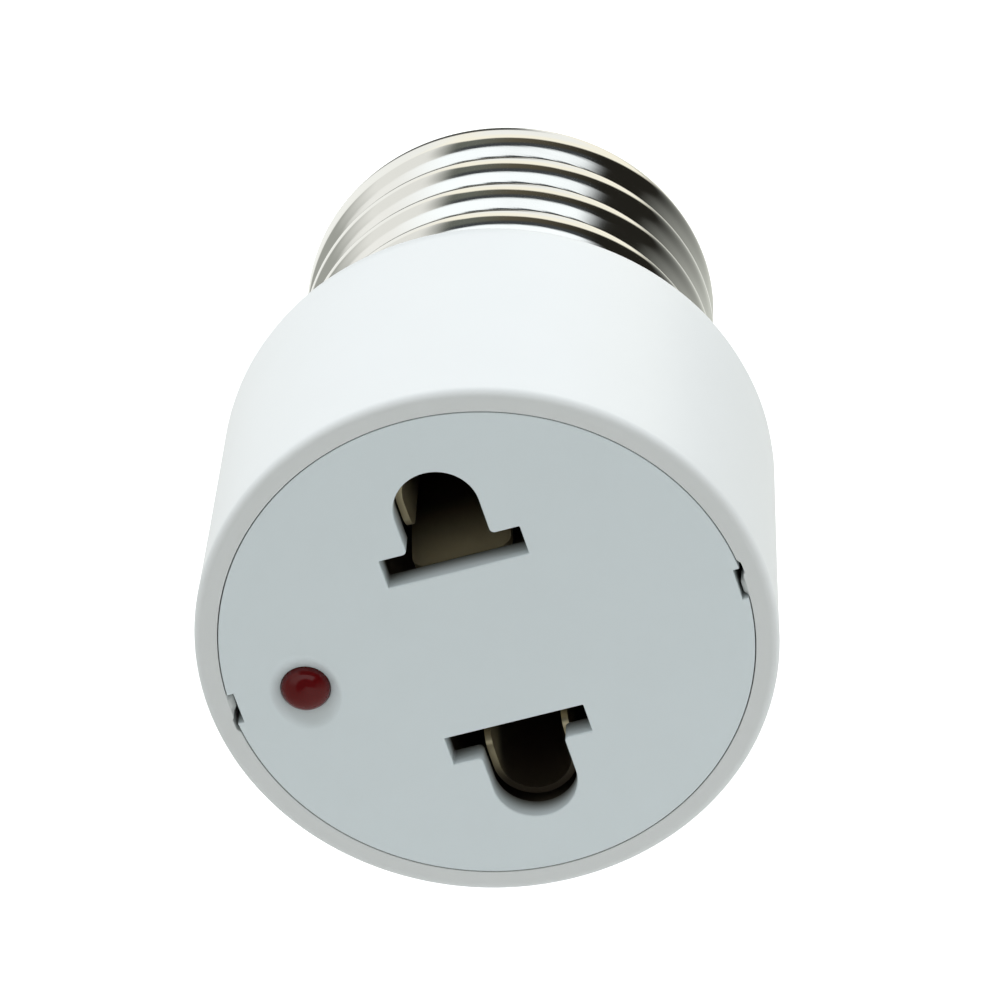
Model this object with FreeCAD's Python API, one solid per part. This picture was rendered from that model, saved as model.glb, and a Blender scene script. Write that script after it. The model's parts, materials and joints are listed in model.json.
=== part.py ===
import FreeCAD, Part
import math
import os
from FreeCAD import Vector

# Lamp-socket-to-outlet adapter: a screw cap at the back, a round housing, and a two-pin outlet face.
# The screw axis is Y. The outlet face looks towards -Y, the cap points to +Y, and the two pin
# slots lie one above the other along Z. The origin is the centre of the plane where the rim of
# the screw shell stops against the back of the housing. Lengths are in millimetres.

# Extra length of every cutter past the surface that it opens
OVERCUT = 1.0

# Housing
FACE_TO_RIM = 23.0
HOUSING_RING = 1.4
HOUSING_TAPER = 0.25
FRONT_EDGE_ROUND = 0.6
FRONT_EDGE_STEPS = 2
SHOULDER_ROUND = 3.4
SHOULDER_STEPS = 4
LEDGE_WIDTH = 0.85
FLOOR_THICKNESS = 2.8
SPIGOT_WALL = 2.35
SPIGOT_CLEARANCE = 0.07

# Outlet face: a disc with a skirt that seats on the ledge in the housing's mouth
FACE_EDGE = 2.12
SEAM = 0.13
PLATE = 1.6
PLATE_EDGE_CHAMFER = 0.12
SKIRT_DEPTH = 4.2
SKIRT_WALL = 1.4

# Pin slots: a flat bar for flat blades that opens into a rounded hollow for round pins
FLAT_PIN_SPACING = 12.7
ROUND_PIN_SPACING = 19.0
SLOT_BAR_LENGTH = 8.6
SLOT_BAR_WIDTH = 1.9
SLOT_DOME_RADIUS = 2.55
SLOT_DOME_OFFSET = 0.15
SLOT_CORNER_ROUND = 0.3

# Pockets behind the slots, which hold the contacts
POCKET_SIDE_GAP = 0.4
POCKET_INNER_GAP = 0.3
POCKET_OUTER_GAP = 0.5
POCKET_WALL = 1.0
POCKET_CORNER_ROUND = 0.8

# Twist lock between the outlet face and the housing
NOTCH_WIDTH = 2.06
NOTCH_DEPTH = 0.42
NOTCH_LENGTH = 2.2
LUG_HEIGHT = 0.33
LUG_WIDTH = 1.4
LUG_FRONT = 2.5
LUG_LENGTH = 1.1
LUG_CLEARANCE = 0.1
LUG_TURN = 3.0
LOCK_GROOVE_HALF_WIDTH = 2.6
KEY_RIB_WIDTH = 1.2
KEY_RIB_HEIGHT = 0.35
KEY_RIB_OFFSET = 0.38
KEY_RIB_DEPTH = 1.4
KEY_RIB_SLOPE = 0.2
KEYWAY_WIDTH = 1.15
KEYWAY_DEPTH = 0.25
KEYWAY_OFFSET = 1.05

# Stamped contacts
SHEET = 0.4
CONTACT_FRONT = 2.4
LEAF_WIDTH = 6.1
LEAF_FRONT_ROUND = 0.8
LEAF_BEHIND_EDGE = 0.4
LEAF_BULGE_RISE = 0.9
LEAF_BULGE_DEPTH = 8.0
LEAF_MIDDLE_RISE = 0.6
LEAF_MIDDLE_DEPTH = 13.0
LEAF_ROOT_RISE = 0.3
CUP_INNER_RADIUS = 2.2
CUP_LENGTH = 11.6
CUP_WING_REACH = 2.1
CUP_CORNER_ROUND = 1.2
NECK_HALF_WIDTH = 1.3
BASE_SIDE_LAP = 0.5
BASE_INNER_LAP = 0.4
BASE_OUTER_LAP = 0.6
TAIL_HALF_WIDTH = 1.2
TAIL_REACH = 1.6
TAIL_HOLE_CLEARANCE = 0.1
TAIL_WINDOW_LENGTH = 3.1

# Indicator lamp: a round LED of 3 mm, set in a shallow dish
LED_INSET = 4.37
LED_RADIUS = 1.5
LED_PROUD = 0.45
LED_LENGTH = 5.3
LED_FLANGE_RADIUS = 1.9
LED_FLANGE_LENGTH = 1.0
LED_HOLE_CLEARANCE = 0.06
LED_PITCH = 2.54
DISH_RADIUS = 2.15
DISH_DEPTH = 0.45
BOSS_WALL = 0.95
BOSS_LENGTH = 5.3

# Small parts behind the indicator
LEAD_RADIUS = 0.25
LEAD_LENGTH = 3.7
LEAD_BEND = 1.6
LEAD_END_GAP = 0.35
SLEEVE_RADIUS = 0.6
SLEEVE_CLEARANCE = 0.06
SLEEVE_START = 6.0
SLEEVE_LENGTH = 3.9
RESISTOR_RADIUS = 1.0
RESISTOR_END_RADIUS = 1.17
RESISTOR_END_LENGTH = 1.2
RESISTOR_LENGTH = 6.2
RESISTOR_START = 10.2
DIODE_RADIUS = 1.15
DIODE_LENGTH = 5.1
DIODE_START = 10.8
DIODE_EDGE_ROUND = 0.2

# Internal wires
CORE_RADIUS = 0.4
SHEATH_RADIUS = 0.8
WIRE_CLEARANCE = 0.02
CORE_PROUD = 0.6
SHEATH_START = 1.4
CENTRE_WIRE_BEND = 14.0
SHELL_WIRE_BEND = 3.2
SHELL_WIRE_FOLD = 1.5
SHELL_WIRE_START_Y = 1.5
SHELL_WIRE_SLANT = 0.45
CENTRE_WIRE_START_Y = 4.0
CENTRE_WIRE_END_Y = 11.0
CORE_BARE_END = 2.0
WIRE_SLOT_Y = 5.0
WIRE_SLOT_WIDTH = 1.1
WIRE_GROOVE_END = 13.0
WIRE_END_GAP = 1.0
SOLDER_RADIUS = 0.85
SOLDER_TIP_RADIUS = 0.55
SOLDER_HEIGHT = 0.85
CENTRE_SOLDER_DEPTH = 2.8

# Screw shell: sheet metal with a rolled thread of the 27 mm lamp cap size
THREAD_PITCH = 3.629
CREST_RADIUS = 13.2
THREAD_DEPTH = 0.98
FLANK_ANGLE = math.radians(50)
SHELL_SHEET = 0.3
SHELL_LENGTH = 20.2
SHELL_CURL = 1.6
CURL_STEPS = 3
LIP_WIDTH = 1.7
THREAD_START = 0.742

# Cap insulator and centre contact
CAP_LENGTH = 27.0
INSULATOR_GAP = 0.2
INSULATOR_FLANGE_INSET = 0.25
INSULATOR_FLANGE_THICKNESS = 2.25
INSULATOR_FLANGE_CHAMFER = 1.0
INSULATOR_LIP_CLEARANCE = 0.05
INSULATOR_NECK_CLEARANCE = 0.2
INSULATOR_NECK_LENGTH = 0.6
INSULATOR_SEAT_MARGIN = 0.5
BUTTON_RADIUS = 4.9
BUTTON_EDGE = 0.8
BUTTON_HEIGHT = 2.2
BUTTON_STEPS = 3
SHANK_RADIUS = 2.0
SHANK_BORE_RADIUS = 1.3
SHANK_CLEARANCE = 0.1
SHANK_FLARE_RADIUS = 3.0
SHANK_FLARE_THICKNESS = 0.4
SHANK_BORE_MARGIN = 0.6

# Sizes that follow from the ones above
FACE_Y = -FACE_TO_RIM
FLOOR_Y = -FLOOR_THICKNESS
SLOT_INNER_Z = (FLAT_PIN_SPACING - SLOT_BAR_WIDTH) / 2
LEAF_FRONT_Z = SLOT_INNER_Z - LEAF_BEHIND_EDGE
LEAF_BULGE_Z = LEAF_FRONT_Z + LEAF_BULGE_RISE
LEAF_MIDDLE_Z = LEAF_FRONT_Z + LEAF_MIDDLE_RISE
LEAF_ROOT_Z = LEAF_FRONT_Z + LEAF_ROOT_RISE
CUP_WING_Z = ROUND_PIN_SPACING / 2 - CUP_WING_REACH
POCKET_HALF_WIDTH = SLOT_BAR_LENGTH / 2 + POCKET_SIDE_GAP
POCKET_INNER_Z = LEAF_FRONT_Z - SHEET - POCKET_INNER_GAP
POCKET_OUTER_Z = ROUND_PIN_SPACING / 2 + CUP_INNER_RADIUS + SHEET + POCKET_OUTER_GAP
BASE_HALF_WIDTH = POCKET_HALF_WIDTH + BASE_SIDE_LAP
BASE_INNER_Z = POCKET_INNER_Z - BASE_INNER_LAP
BASE_OUTER_Z = POCKET_OUTER_Z + BASE_OUTER_LAP
TAIL_HOLE_Z = BASE_INNER_Z - TAIL_REACH
FACE_RADIUS = POCKET_OUTER_Z + POCKET_WALL + FACE_EDGE
LED_X = LED_INSET - FACE_RADIUS
BORE_RADIUS = FACE_RADIUS + SEAM
CAVITY_RADIUS = BORE_RADIUS - LEDGE_WIDTH
HOUSING_FRONT_RADIUS = BORE_RADIUS + HOUSING_RING
HOUSING_BACK_RADIUS = HOUSING_FRONT_RADIUS - HOUSING_TAPER
LEDGE_Y = FACE_Y + SKIRT_DEPTH
ROOT_RADIUS = CREST_RADIUS - THREAD_DEPTH
LIP_INNER_Y = SHELL_LENGTH - SHELL_SHEET - INSULATOR_LIP_CLEARANCE
INSULATOR_INNER_Y = LIP_INNER_Y - INSULATOR_FLANGE_THICKNESS
SPIGOT_LENGTH = INSULATOR_INNER_Y - INSULATOR_GAP
LIP_RADIUS = CREST_RADIUS - SHELL_CURL - LIP_WIDTH
SPIGOT_RADIUS = ROOT_RADIUS - SHELL_SHEET - SPIGOT_CLEARANCE
SPIGOT_BORE_RADIUS = SPIGOT_RADIUS - SPIGOT_WALL
INSULATOR_FLANGE_RADIUS = SPIGOT_RADIUS - INSULATOR_FLANGE_INSET
INSULATOR_SEAT_RADIUS = BUTTON_RADIUS + INSULATOR_SEAT_MARGIN
BASE_FRONT_Y = FLOOR_Y - SHEET
GROOVE_FLOOR_RADIUS = SPIGOT_RADIUS - 2 * CORE_RADIUS - 2 * WIRE_CLEARANCE
CENTRE_SOLDER_END_Y = INSULATOR_INNER_Y + CENTRE_SOLDER_DEPTH
AXIS = Vector(0, 1, 0)
ORIGIN = Vector(0, 0, 0)


def turned(edges):
    """Solid of revolution about Y from a closed outline in the XY plane."""
    return Part.Face(Part.Wire(edges)).revolve(ORIGIN, AXIS, 360)


def outline(points):
    """Straight edges through (radius, y) points, closed back to the first."""
    corners = [Vector(r, y, 0) for r, y in points]
    corners.append(corners[0])
    return Part.makePolygon(corners).Edges


def rounded_corner(r, y, radius, start, end, steps):
    """(radius, y) points round a corner in short straight steps; angles in degrees from the radius."""
    points = []
    for count in range(steps + 1):
        angle = math.radians(start + (end - start) * count / steps)
        points.append((r + radius * math.cos(angle), y + radius * math.sin(angle)))
    return points


def line(a, b):
    return Part.makeLine(Vector(a[0], a[1], 0), Vector(b[0], b[1], 0))


def arc(a, middle, b):
    return Part.Arc(Vector(a[0], a[1], 0), Vector(middle[0], middle[1], 0), Vector(b[0], b[1], 0)).toShape()


def block(x0, x1, y0, y1, z0, z1):
    return Part.makeBox(x1 - x0, y1 - y0, z1 - z0, Vector(x0, y0, z0))


def rod(radius, y0, y1, x=0.0, z=0.0):
    return Part.makeCylinder(radius, y1 - y0, Vector(x, y0, z), AXIS)


def opposite(shape):
    """The same shape half a turn round the screw axis."""
    copy = shape.copy()
    copy.rotate(ORIGIN, AXIS, 180)
    return copy


def turn(shape, degrees):
    """Turn about the screw axis, positive from +X towards +Z."""
    copy = shape.copy()
    copy.rotate(ORIGIN, AXIS, -degrees)
    return copy


def rounded_along_y(shape, radius, y0, y1):
    """Round the long corners of a block that runs along Y from y0 to y1."""
    corners = []
    for edge in shape.Edges:
        ends = sorted(v.Point.y for v in edge.Vertexes)
        if abs(ends[0] - y0) < 1e-6 and abs(ends[1] - y1) < 1e-6:
            corners.append(edge)
    return shape.makeFillet(radius, corners)


def bent_path(points, bends):
    """Straight runs joined by tangent arcs; bends gives one radius for each inner point."""
    edges = []
    start = points[0]
    for i in range(1, len(points) - 1):
        corner = points[i]
        back = (points[i - 1] - corner).normalize()
        ahead = (points[i + 1] - corner).normalize()
        half = back.getAngle(ahead) / 2
        reach = bends[i - 1] / math.tan(half)
        inwards = (back + ahead).normalize()
        centre = corner + inwards * (bends[i - 1] / math.sin(half))
        enter = corner + back * reach
        leave = corner + ahead * reach
        middle = centre - inwards * bends[i - 1]
        edges.append(Part.LineSegment(start, enter).toShape())
        edges.append(Part.Arc(enter, middle, leave).toShape())
        start = leave
    edges.append(Part.LineSegment(start, points[-1]).toShape())
    return Part.Wire(edges)


def pipe(points, bends, radius):
    path = bent_path(points, bends)
    direction = points[1] - points[0]
    section = Part.Wire([Part.makeCircle(radius, points[0], direction)])
    return path.makePipeShell([section], True, False)


def housing():
    """White moulded body: a bell with a ledge, a floor, and a spigot that carries the shell."""
    body = turned(outline(
        [(BORE_RADIUS, FACE_Y)]
        + rounded_corner(HOUSING_FRONT_RADIUS - FRONT_EDGE_ROUND, FACE_Y + FRONT_EDGE_ROUND,
                         FRONT_EDGE_ROUND, -90, 0, FRONT_EDGE_STEPS)
        + rounded_corner(HOUSING_BACK_RADIUS - SHOULDER_ROUND, -SHOULDER_ROUND,
                         SHOULDER_ROUND, 0, 90, SHOULDER_STEPS)
        + [
            (SPIGOT_RADIUS, 0),
            (SPIGOT_RADIUS, SPIGOT_LENGTH),
            (SPIGOT_BORE_RADIUS, SPIGOT_LENGTH),
            (SPIGOT_BORE_RADIUS, FLOOR_Y),
            (CAVITY_RADIUS, FLOOR_Y),
            (CAVITY_RADIUS, LEDGE_Y),
            (BORE_RADIUS, LEDGE_Y),
        ]
    ))

    lug_tip = FACE_RADIUS + LUG_HEIGHT
    groove = rod(lug_tip + LUG_CLEARANCE, FACE_Y + LUG_FRONT - LUG_CLEARANCE,
                 FACE_Y + LUG_FRONT + LUG_LENGTH + LUG_CLEARANCE)
    groove = groove.common(block(0, lug_tip * 2, FACE_Y, 0, -LOCK_GROOVE_HALF_WIDTH, LOCK_GROOVE_HALF_WIDTH))
    keyway = block(
        CAVITY_RADIUS, BORE_RADIUS + KEYWAY_DEPTH, FACE_Y - OVERCUT, FACE_Y + LUG_FRONT + LUG_LENGTH,
        KEYWAY_OFFSET - KEYWAY_WIDTH / 2, KEYWAY_OFFSET + KEYWAY_WIDTH / 2,
    )
    for cutter in (groove, keyway):
        body = body.cut(cutter).cut(opposite(cutter))

    rib_tip = BORE_RADIUS - KEY_RIB_HEIGHT
    rib_half = KEY_RIB_WIDTH / 2
    rib_root = BORE_RADIUS + KEYWAY_DEPTH / 2
    rib_outline = [
        (rib_root, -rib_half - KEY_RIB_OFFSET),
        (rib_root, rib_half - KEY_RIB_OFFSET),
        (rib_tip, rib_half - KEY_RIB_SLOPE - KEY_RIB_OFFSET),
        (rib_tip, -rib_half + KEY_RIB_SLOPE - KEY_RIB_OFFSET),
    ]
    corners = [Vector(x, FACE_Y + PLATE_EDGE_CHAMFER, z) for x, z in rib_outline]
    corners.append(corners[0])
    rib = Part.Face(Part.makePolygon(corners)).extrude(Vector(0, KEY_RIB_DEPTH, 0))
    body = body.fuse(rib).fuse(opposite(rib))

    half_slot = WIRE_SLOT_WIDTH / 2
    bend_room = SHELL_WIRE_FOLD + CORE_RADIUS
    slot = block(-half_slot, half_slot, WIRE_SLOT_Y - half_slot, WIRE_SLOT_Y + bend_room,
                 -SPIGOT_RADIUS - OVERCUT, -SPIGOT_BORE_RADIUS + OVERCUT)
    wire_groove = block(-half_slot, half_slot, WIRE_SLOT_Y, WIRE_GROOVE_END,
                        -SPIGOT_RADIUS - OVERCUT, -GROOVE_FLOOR_RADIUS)
    return body.cut(slot).cut(wire_groove)


def slot_prism(y0, y1):
    """Upper pin slot: a flat bar that opens outwards into a rounded hollow."""
    bar_in = SLOT_INNER_Z
    bar_out = bar_in + SLOT_BAR_WIDTH
    half = SLOT_BAR_LENGTH / 2
    r = SLOT_DOME_RADIUS
    c = ROUND_PIN_SPACING / 2 + SLOT_DOME_OFFSET
    f = SLOT_CORNER_ROUND
    q = f * (1 - math.sqrt(0.5))

    def at(x, z):
        return Vector(x, y0, z)

    edges = [
        Part.makeLine(at(-half, bar_in), at(half, bar_in)),
        Part.makeLine(at(half, bar_in), at(half, bar_out)),
        Part.makeLine(at(half, bar_out), at(r + f, bar_out)),
        Part.Arc(at(r + f, bar_out), at(r + q, bar_out + q), at(r, bar_out + f)).toShape(),
        Part.makeLine(at(r, bar_out + f), at(r, c)),
        Part.Arc(at(r, c), at(0, c + r), at(-r, c)).toShape(),
        Part.makeLine(at(-r, c), at(-r, bar_out + f)),
        Part.Arc(at(-r, bar_out + f), at(-r - q, bar_out + q), at(-r - f, bar_out)).toShape(),
        Part.makeLine(at(-r - f, bar_out), at(-half, bar_out)),
        Part.makeLine(at(-half, bar_out), at(-half, bar_in)),
    ]
    return Part.Face(Part.Wire(edges)).extrude(Vector(0, y1 - y0, 0))


def socket_face():
    """Moulded insert: the slotted disc, its skirt, two contact pockets and the indicator's boss."""
    back = FACE_Y + PLATE
    skirt_in = FACE_RADIUS - SKIRT_WALL
    body = turned(outline([
        (0, FACE_Y),
        (FACE_RADIUS - PLATE_EDGE_CHAMFER, FACE_Y),
        (FACE_RADIUS, FACE_Y + PLATE_EDGE_CHAMFER),
        (FACE_RADIUS, LEDGE_Y),
        (skirt_in, LEDGE_Y),
        (skirt_in, back),
        (0, back),
    ]))

    wall = POCKET_WALL
    shell = block(-POCKET_HALF_WIDTH - wall, POCKET_HALF_WIDTH + wall, back, BASE_FRONT_Y,
                  POCKET_INNER_Z - wall, POCKET_OUTER_Z + wall)
    shell = rounded_along_y(shell, POCKET_CORNER_ROUND + wall, back, BASE_FRONT_Y)
    hollow = block(-POCKET_HALF_WIDTH, POCKET_HALF_WIDTH, back, BASE_FRONT_Y, POCKET_INNER_Z, POCKET_OUTER_Z)
    hollow = rounded_along_y(hollow, POCKET_CORNER_ROUND, back, BASE_FRONT_Y)
    slot = slot_prism(FACE_Y - OVERCUT, back + OVERCUT)
    boss = rod(LED_FLANGE_RADIUS + LED_HOLE_CLEARANCE + BOSS_WALL, back, FACE_Y + BOSS_LENGTH, LED_X)
    body = body.fuse(shell).fuse(opposite(shell)).fuse(boss)
    for cutter in (hollow, slot):
        body = body.cut(cutter).cut(opposite(cutter))

    seat_y = FACE_Y + LED_LENGTH - LED_PROUD - LED_FLANGE_LENGTH
    hole = rod(LED_RADIUS + LED_HOLE_CLEARANCE, FACE_Y - OVERCUT, seat_y, LED_X)
    counterbore = rod(LED_FLANGE_RADIUS + LED_HOLE_CLEARANCE, seat_y, FACE_Y + BOSS_LENGTH + OVERCUT, LED_X)
    dish = Part.makeCone(DISH_RADIUS, LED_RADIUS + LED_HOLE_CLEARANCE, DISH_DEPTH,
                         Vector(LED_X, FACE_Y, 0), AXIS)
    body = body.cut(hole).cut(counterbore).cut(dish)

    notch = block(FACE_RADIUS - NOTCH_DEPTH, FACE_RADIUS + OVERCUT, FACE_Y - OVERCUT, FACE_Y + NOTCH_LENGTH,
                  -NOTCH_WIDTH / 2, NOTCH_WIDTH / 2)
    lug = block(FACE_RADIUS - SKIRT_WALL / 2, FACE_RADIUS + LUG_HEIGHT, FACE_Y + LUG_FRONT,
                FACE_Y + LUG_FRONT + LUG_LENGTH, -LUG_WIDTH / 2, LUG_WIDTH / 2)
    lug = turn(lug, -LUG_TURN)
    body = body.cut(notch).cut(opposite(notch))
    return body.fuse(lug).fuse(opposite(lug)).removeSplitter()


def spring_leaf():
    """Flat inner leaf, bowed towards the pin, with rounded front corners and the tail's window."""
    front = FACE_Y + CONTACT_FRONT
    heights = [
        (front, LEAF_FRONT_Z),
        (FACE_Y + LEAF_BULGE_DEPTH, LEAF_BULGE_Z),
        (FACE_Y + LEAF_MIDDLE_DEPTH, LEAF_MIDDLE_Z),
        (BASE_FRONT_Y + SHEET / 2, LEAF_ROOT_Z),
    ]
    half = LEAF_WIDTH / 2
    sides = []
    for drop in (0, SHEET):
        curve = Part.BSplineCurve()
        curve.interpolate([Vector(-half, y, z - drop) for y, z in heights])
        sides.append(curve.toShape())
    ends = [
        Part.makeLine(Vector(-half, y, z), Vector(-half, y, z - SHEET)) for y, z in (heights[0], heights[-1])
    ]
    leaf = Part.Face(Part.Wire(Part.__sortEdges__(sides + ends))).extrude(Vector(LEAF_WIDTH, 0, 0))

    round_y = front + LEAF_FRONT_ROUND
    low = LEAF_FRONT_Z - 2 * SHEET
    high = LEAF_BULGE_Z + SHEET
    for side in (-1, 1):
        corner = block(min(side * half, side * (half - LEAF_FRONT_ROUND)),
                       max(side * half, side * (half - LEAF_FRONT_ROUND)), front - SHEET, round_y, low, high)
        post = Part.makeCylinder(LEAF_FRONT_ROUND, high - low,
                                 Vector(side * (half - LEAF_FRONT_ROUND), round_y, low))
        leaf = leaf.cut(corner.cut(post))
    window = block(-TAIL_HALF_WIDTH - SHEET / 2, TAIL_HALF_WIDTH + SHEET / 2,
                   BASE_FRONT_Y - TAIL_WINDOW_LENGTH, BASE_FRONT_Y - SHEET / 2, low, high)
    return leaf.cut(window)


def spring_cup():
    """Half-round outer leaf that wraps a round pin, with the neck that joins it to the base."""
    front = FACE_Y + CONTACT_FRONT
    centre_z = ROUND_PIN_SPACING / 2
    outer = CUP_INNER_RADIUS + SHEET

    def channel(radius, y0, y1):
        return rod(radius, y0, y1, 0, centre_z).fuse(
            block(-radius, radius, y0, y1, centre_z - outer * 2, centre_z))

    trough = channel(outer, front, BASE_FRONT_Y + SHEET / 2)
    trough = trough.cut(channel(CUP_INNER_RADIUS, front - OVERCUT, BASE_FRONT_Y + OVERCUT))
    side_view = block(-outer, outer, front, front + CUP_LENGTH, CUP_WING_Z, centre_z + outer)
    low_corners = []
    for edge in side_view.Edges:
        ends = [v.Point for v in edge.Vertexes]
        along_x = abs(ends[0].x - ends[1].x) > outer
        if along_x and ends[0].z < centre_z:
            low_corners.append(edge)
    side_view = side_view.makeFillet(CUP_CORNER_ROUND, low_corners)
    neck_view = block(-NECK_HALF_WIDTH, NECK_HALF_WIDTH, front + CUP_LENGTH / 2, BASE_FRONT_Y + SHEET / 2,
                      centre_z, centre_z + outer)
    return trough.common(side_view.fuse(neck_view))


def upper_contact():
    """Stamped brass contact: base, bowed leaf, half-round cup and a solder tail."""
    base = block(-BASE_HALF_WIDTH, BASE_HALF_WIDTH, BASE_FRONT_Y, FLOOR_Y, BASE_INNER_Z, BASE_OUTER_Z)
    base = rounded_along_y(base, LEAF_FRONT_ROUND, BASE_FRONT_Y, FLOOR_Y)
    tail = block(-TAIL_HALF_WIDTH, TAIL_HALF_WIDTH, BASE_FRONT_Y, FLOOR_Y, TAIL_HOLE_Z, LEAF_ROOT_Z)
    tail = tail.fuse(rod(TAIL_HALF_WIDTH, BASE_FRONT_Y, FLOOR_Y, 0, TAIL_HOLE_Z))
    hole = rod(CORE_RADIUS + TAIL_HOLE_CLEARANCE, BASE_FRONT_Y - OVERCUT, FLOOR_Y + OVERCUT, 0, TAIL_HOLE_Z)
    body = base.fuse(tail).fuse(spring_leaf()).fuse(spring_cup())
    return body.cut(hole).removeSplitter()


def indicator_led():
    """Red epoxy body: domed cylinder with a flange at its foot."""
    centre_y = FACE_Y - LED_PROUD + LED_RADIUS
    end_y = FACE_Y - LED_PROUD + LED_LENGTH
    diagonal = math.sqrt(0.5)
    edges = [
        arc((0, centre_y - LED_RADIUS),
            (LED_RADIUS * diagonal, centre_y - LED_RADIUS * diagonal),
            (LED_RADIUS, centre_y)),
        line((LED_RADIUS, centre_y), (LED_RADIUS, end_y - LED_FLANGE_LENGTH)),
        line((LED_RADIUS, end_y - LED_FLANGE_LENGTH), (LED_FLANGE_RADIUS, end_y - LED_FLANGE_LENGTH)),
        line((LED_FLANGE_RADIUS, end_y - LED_FLANGE_LENGTH), (LED_FLANGE_RADIUS, end_y)),
        line((LED_FLANGE_RADIUS, end_y), (0, end_y)),
        line((0, end_y), (0, centre_y - LED_RADIUS)),
    ]
    body = turned(edges)
    body.translate(Vector(LED_X, 0, 0))
    return body


def lead_z(side):
    """Height of the two rows of small parts: side is 1 for the upper row, -1 for the lower."""
    return side * LED_PITCH / 2


def led_lead(side):
    start = FACE_Y - LED_PROUD + LED_LENGTH
    return rod(LEAD_RADIUS, start, start + LEAD_LENGTH, LED_X, lead_z(side))


def lead_sleeve(side):
    y0 = FACE_Y + SLEEVE_START
    y1 = y0 + SLEEVE_LENGTH
    z = lead_z(side)
    tube = rod(SLEEVE_RADIUS, y0, y1, LED_X, z)
    return tube.cut(rod(LEAD_RADIUS + SLEEVE_CLEARANCE, y0 - OVERCUT, y1 + OVERCUT, LED_X, z))


def front_lead(side, body_start):
    """Lead from the end of the indicator's lead, inside the sleeve, to a component's front."""
    start = FACE_Y - LED_PROUD + LED_LENGTH + LEAD_LENGTH
    return rod(LEAD_RADIUS, start, FACE_Y + body_start, LED_X, lead_z(side))


def rear_lead(side, body_end):
    """Lead from a component's back, bent over to the solder tail of a contact."""
    level = BASE_FRONT_Y - LEAD_RADIUS - WIRE_CLEARANCE
    points = [
        Vector(LED_X, FACE_Y + body_end, lead_z(side)),
        Vector(LED_X, level, lead_z(side)),
        Vector(-CORE_RADIUS - LEAD_END_GAP, level, side * TAIL_HOLE_Z),
    ]
    return pipe(points, [LEAD_BEND], LEAD_RADIUS)


def series_resistor():
    """Coated resistor body: a barrel with thicker ends."""
    r = RESISTOR_RADIUS
    cap = RESISTOR_END_RADIUS
    y0 = FACE_Y + RESISTOR_START
    y1 = y0 + RESISTOR_LENGTH
    end = RESISTOR_END_LENGTH
    slope = cap - r
    body = turned(outline([
        (0, y0), (cap - slope, y0), (cap, y0 + slope), (cap, y0 + end), (r, y0 + end + slope),
        (r, y1 - end - slope), (cap, y1 - end), (cap, y1 - slope), (cap - slope, y1), (0, y1),
    ]))
    body.translate(Vector(LED_X, 0, lead_z(1)))
    return body


def blocking_diode():
    """Moulded diode body with softened ends."""
    y0 = FACE_Y + DIODE_START
    y1 = y0 + DIODE_LENGTH
    edge = DIODE_EDGE_ROUND
    body = turned(outline([
        (0, y0), (DIODE_RADIUS - edge, y0), (DIODE_RADIUS, y0 + edge),
        (DIODE_RADIUS, y1 - edge), (DIODE_RADIUS - edge, y1), (0, y1),
    ]))
    body.translate(Vector(LED_X, 0, lead_z(-1)))
    return body


def insulated_wire(points, bends, sheath_start, sheath_end, sheath_bends):
    """Wire with bare ends: the core runs the whole route, the sheath a shorter one."""
    covered = [sheath_start] + points[1:1 + len(sheath_bends)] + [sheath_end]
    return pipe(points, bends, CORE_RADIUS).fuse(pipe(covered, sheath_bends, SHEATH_RADIUS))


def centre_wire():
    """From the upper contact's tail, in a gentle S, to the centre contact."""
    points = [
        Vector(0, BASE_FRONT_Y - CORE_PROUD, TAIL_HOLE_Z),
        Vector(0, CENTRE_WIRE_START_Y, TAIL_HOLE_Z),
        Vector(0, CENTRE_WIRE_END_Y, 0),
        Vector(0, CENTRE_SOLDER_END_Y, 0),
    ]
    bends = [CENTRE_WIRE_BEND, CENTRE_WIRE_BEND]
    return insulated_wire(points, bends, Vector(0, FLOOR_Y + SHEATH_START, TAIL_HOLE_Z),
                          Vector(0, SPIGOT_LENGTH - CORE_BARE_END, 0), bends)


def shell_wire():
    """From the lower contact's tail to the spigot's groove, where the shell presses on its bare end."""
    level = -GROOVE_FLOOR_RADIUS - CORE_RADIUS - WIRE_CLEARANCE
    turn_z = -TAIL_HOLE_Z + SHELL_WIRE_SLANT * (level + TAIL_HOLE_Z)
    points = [
        Vector(0, BASE_FRONT_Y - CORE_PROUD, -TAIL_HOLE_Z),
        Vector(0, SHELL_WIRE_START_Y, -TAIL_HOLE_Z),
        Vector(0, WIRE_SLOT_Y, turn_z),
        Vector(0, WIRE_SLOT_Y, level),
        Vector(0, WIRE_GROOVE_END - WIRE_END_GAP, level),
    ]
    bends = [SHELL_WIRE_BEND, SHELL_WIRE_BEND, SHELL_WIRE_FOLD]
    return insulated_wire(points, bends, Vector(0, FLOOR_Y + SHEATH_START, -TAIL_HOLE_Z),
                          Vector(0, WIRE_SLOT_Y, SHEATH_RADIUS / 2 - SPIGOT_BORE_RADIUS), bends[:2])


def tail_solder(side, lead, core):
    """Solder cone on the front of a contact's tail, round the wire's end and the lead's end."""
    blob = turned(outline([
        (0, BASE_FRONT_Y),
        (SOLDER_RADIUS, BASE_FRONT_Y),
        (SOLDER_TIP_RADIUS, BASE_FRONT_Y - SOLDER_HEIGHT),
        (0, BASE_FRONT_Y - SOLDER_HEIGHT),
    ]))
    blob.translate(Vector(0, 0, side * TAIL_HOLE_Z))
    return blob.cut(core).cut(lead)


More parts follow.
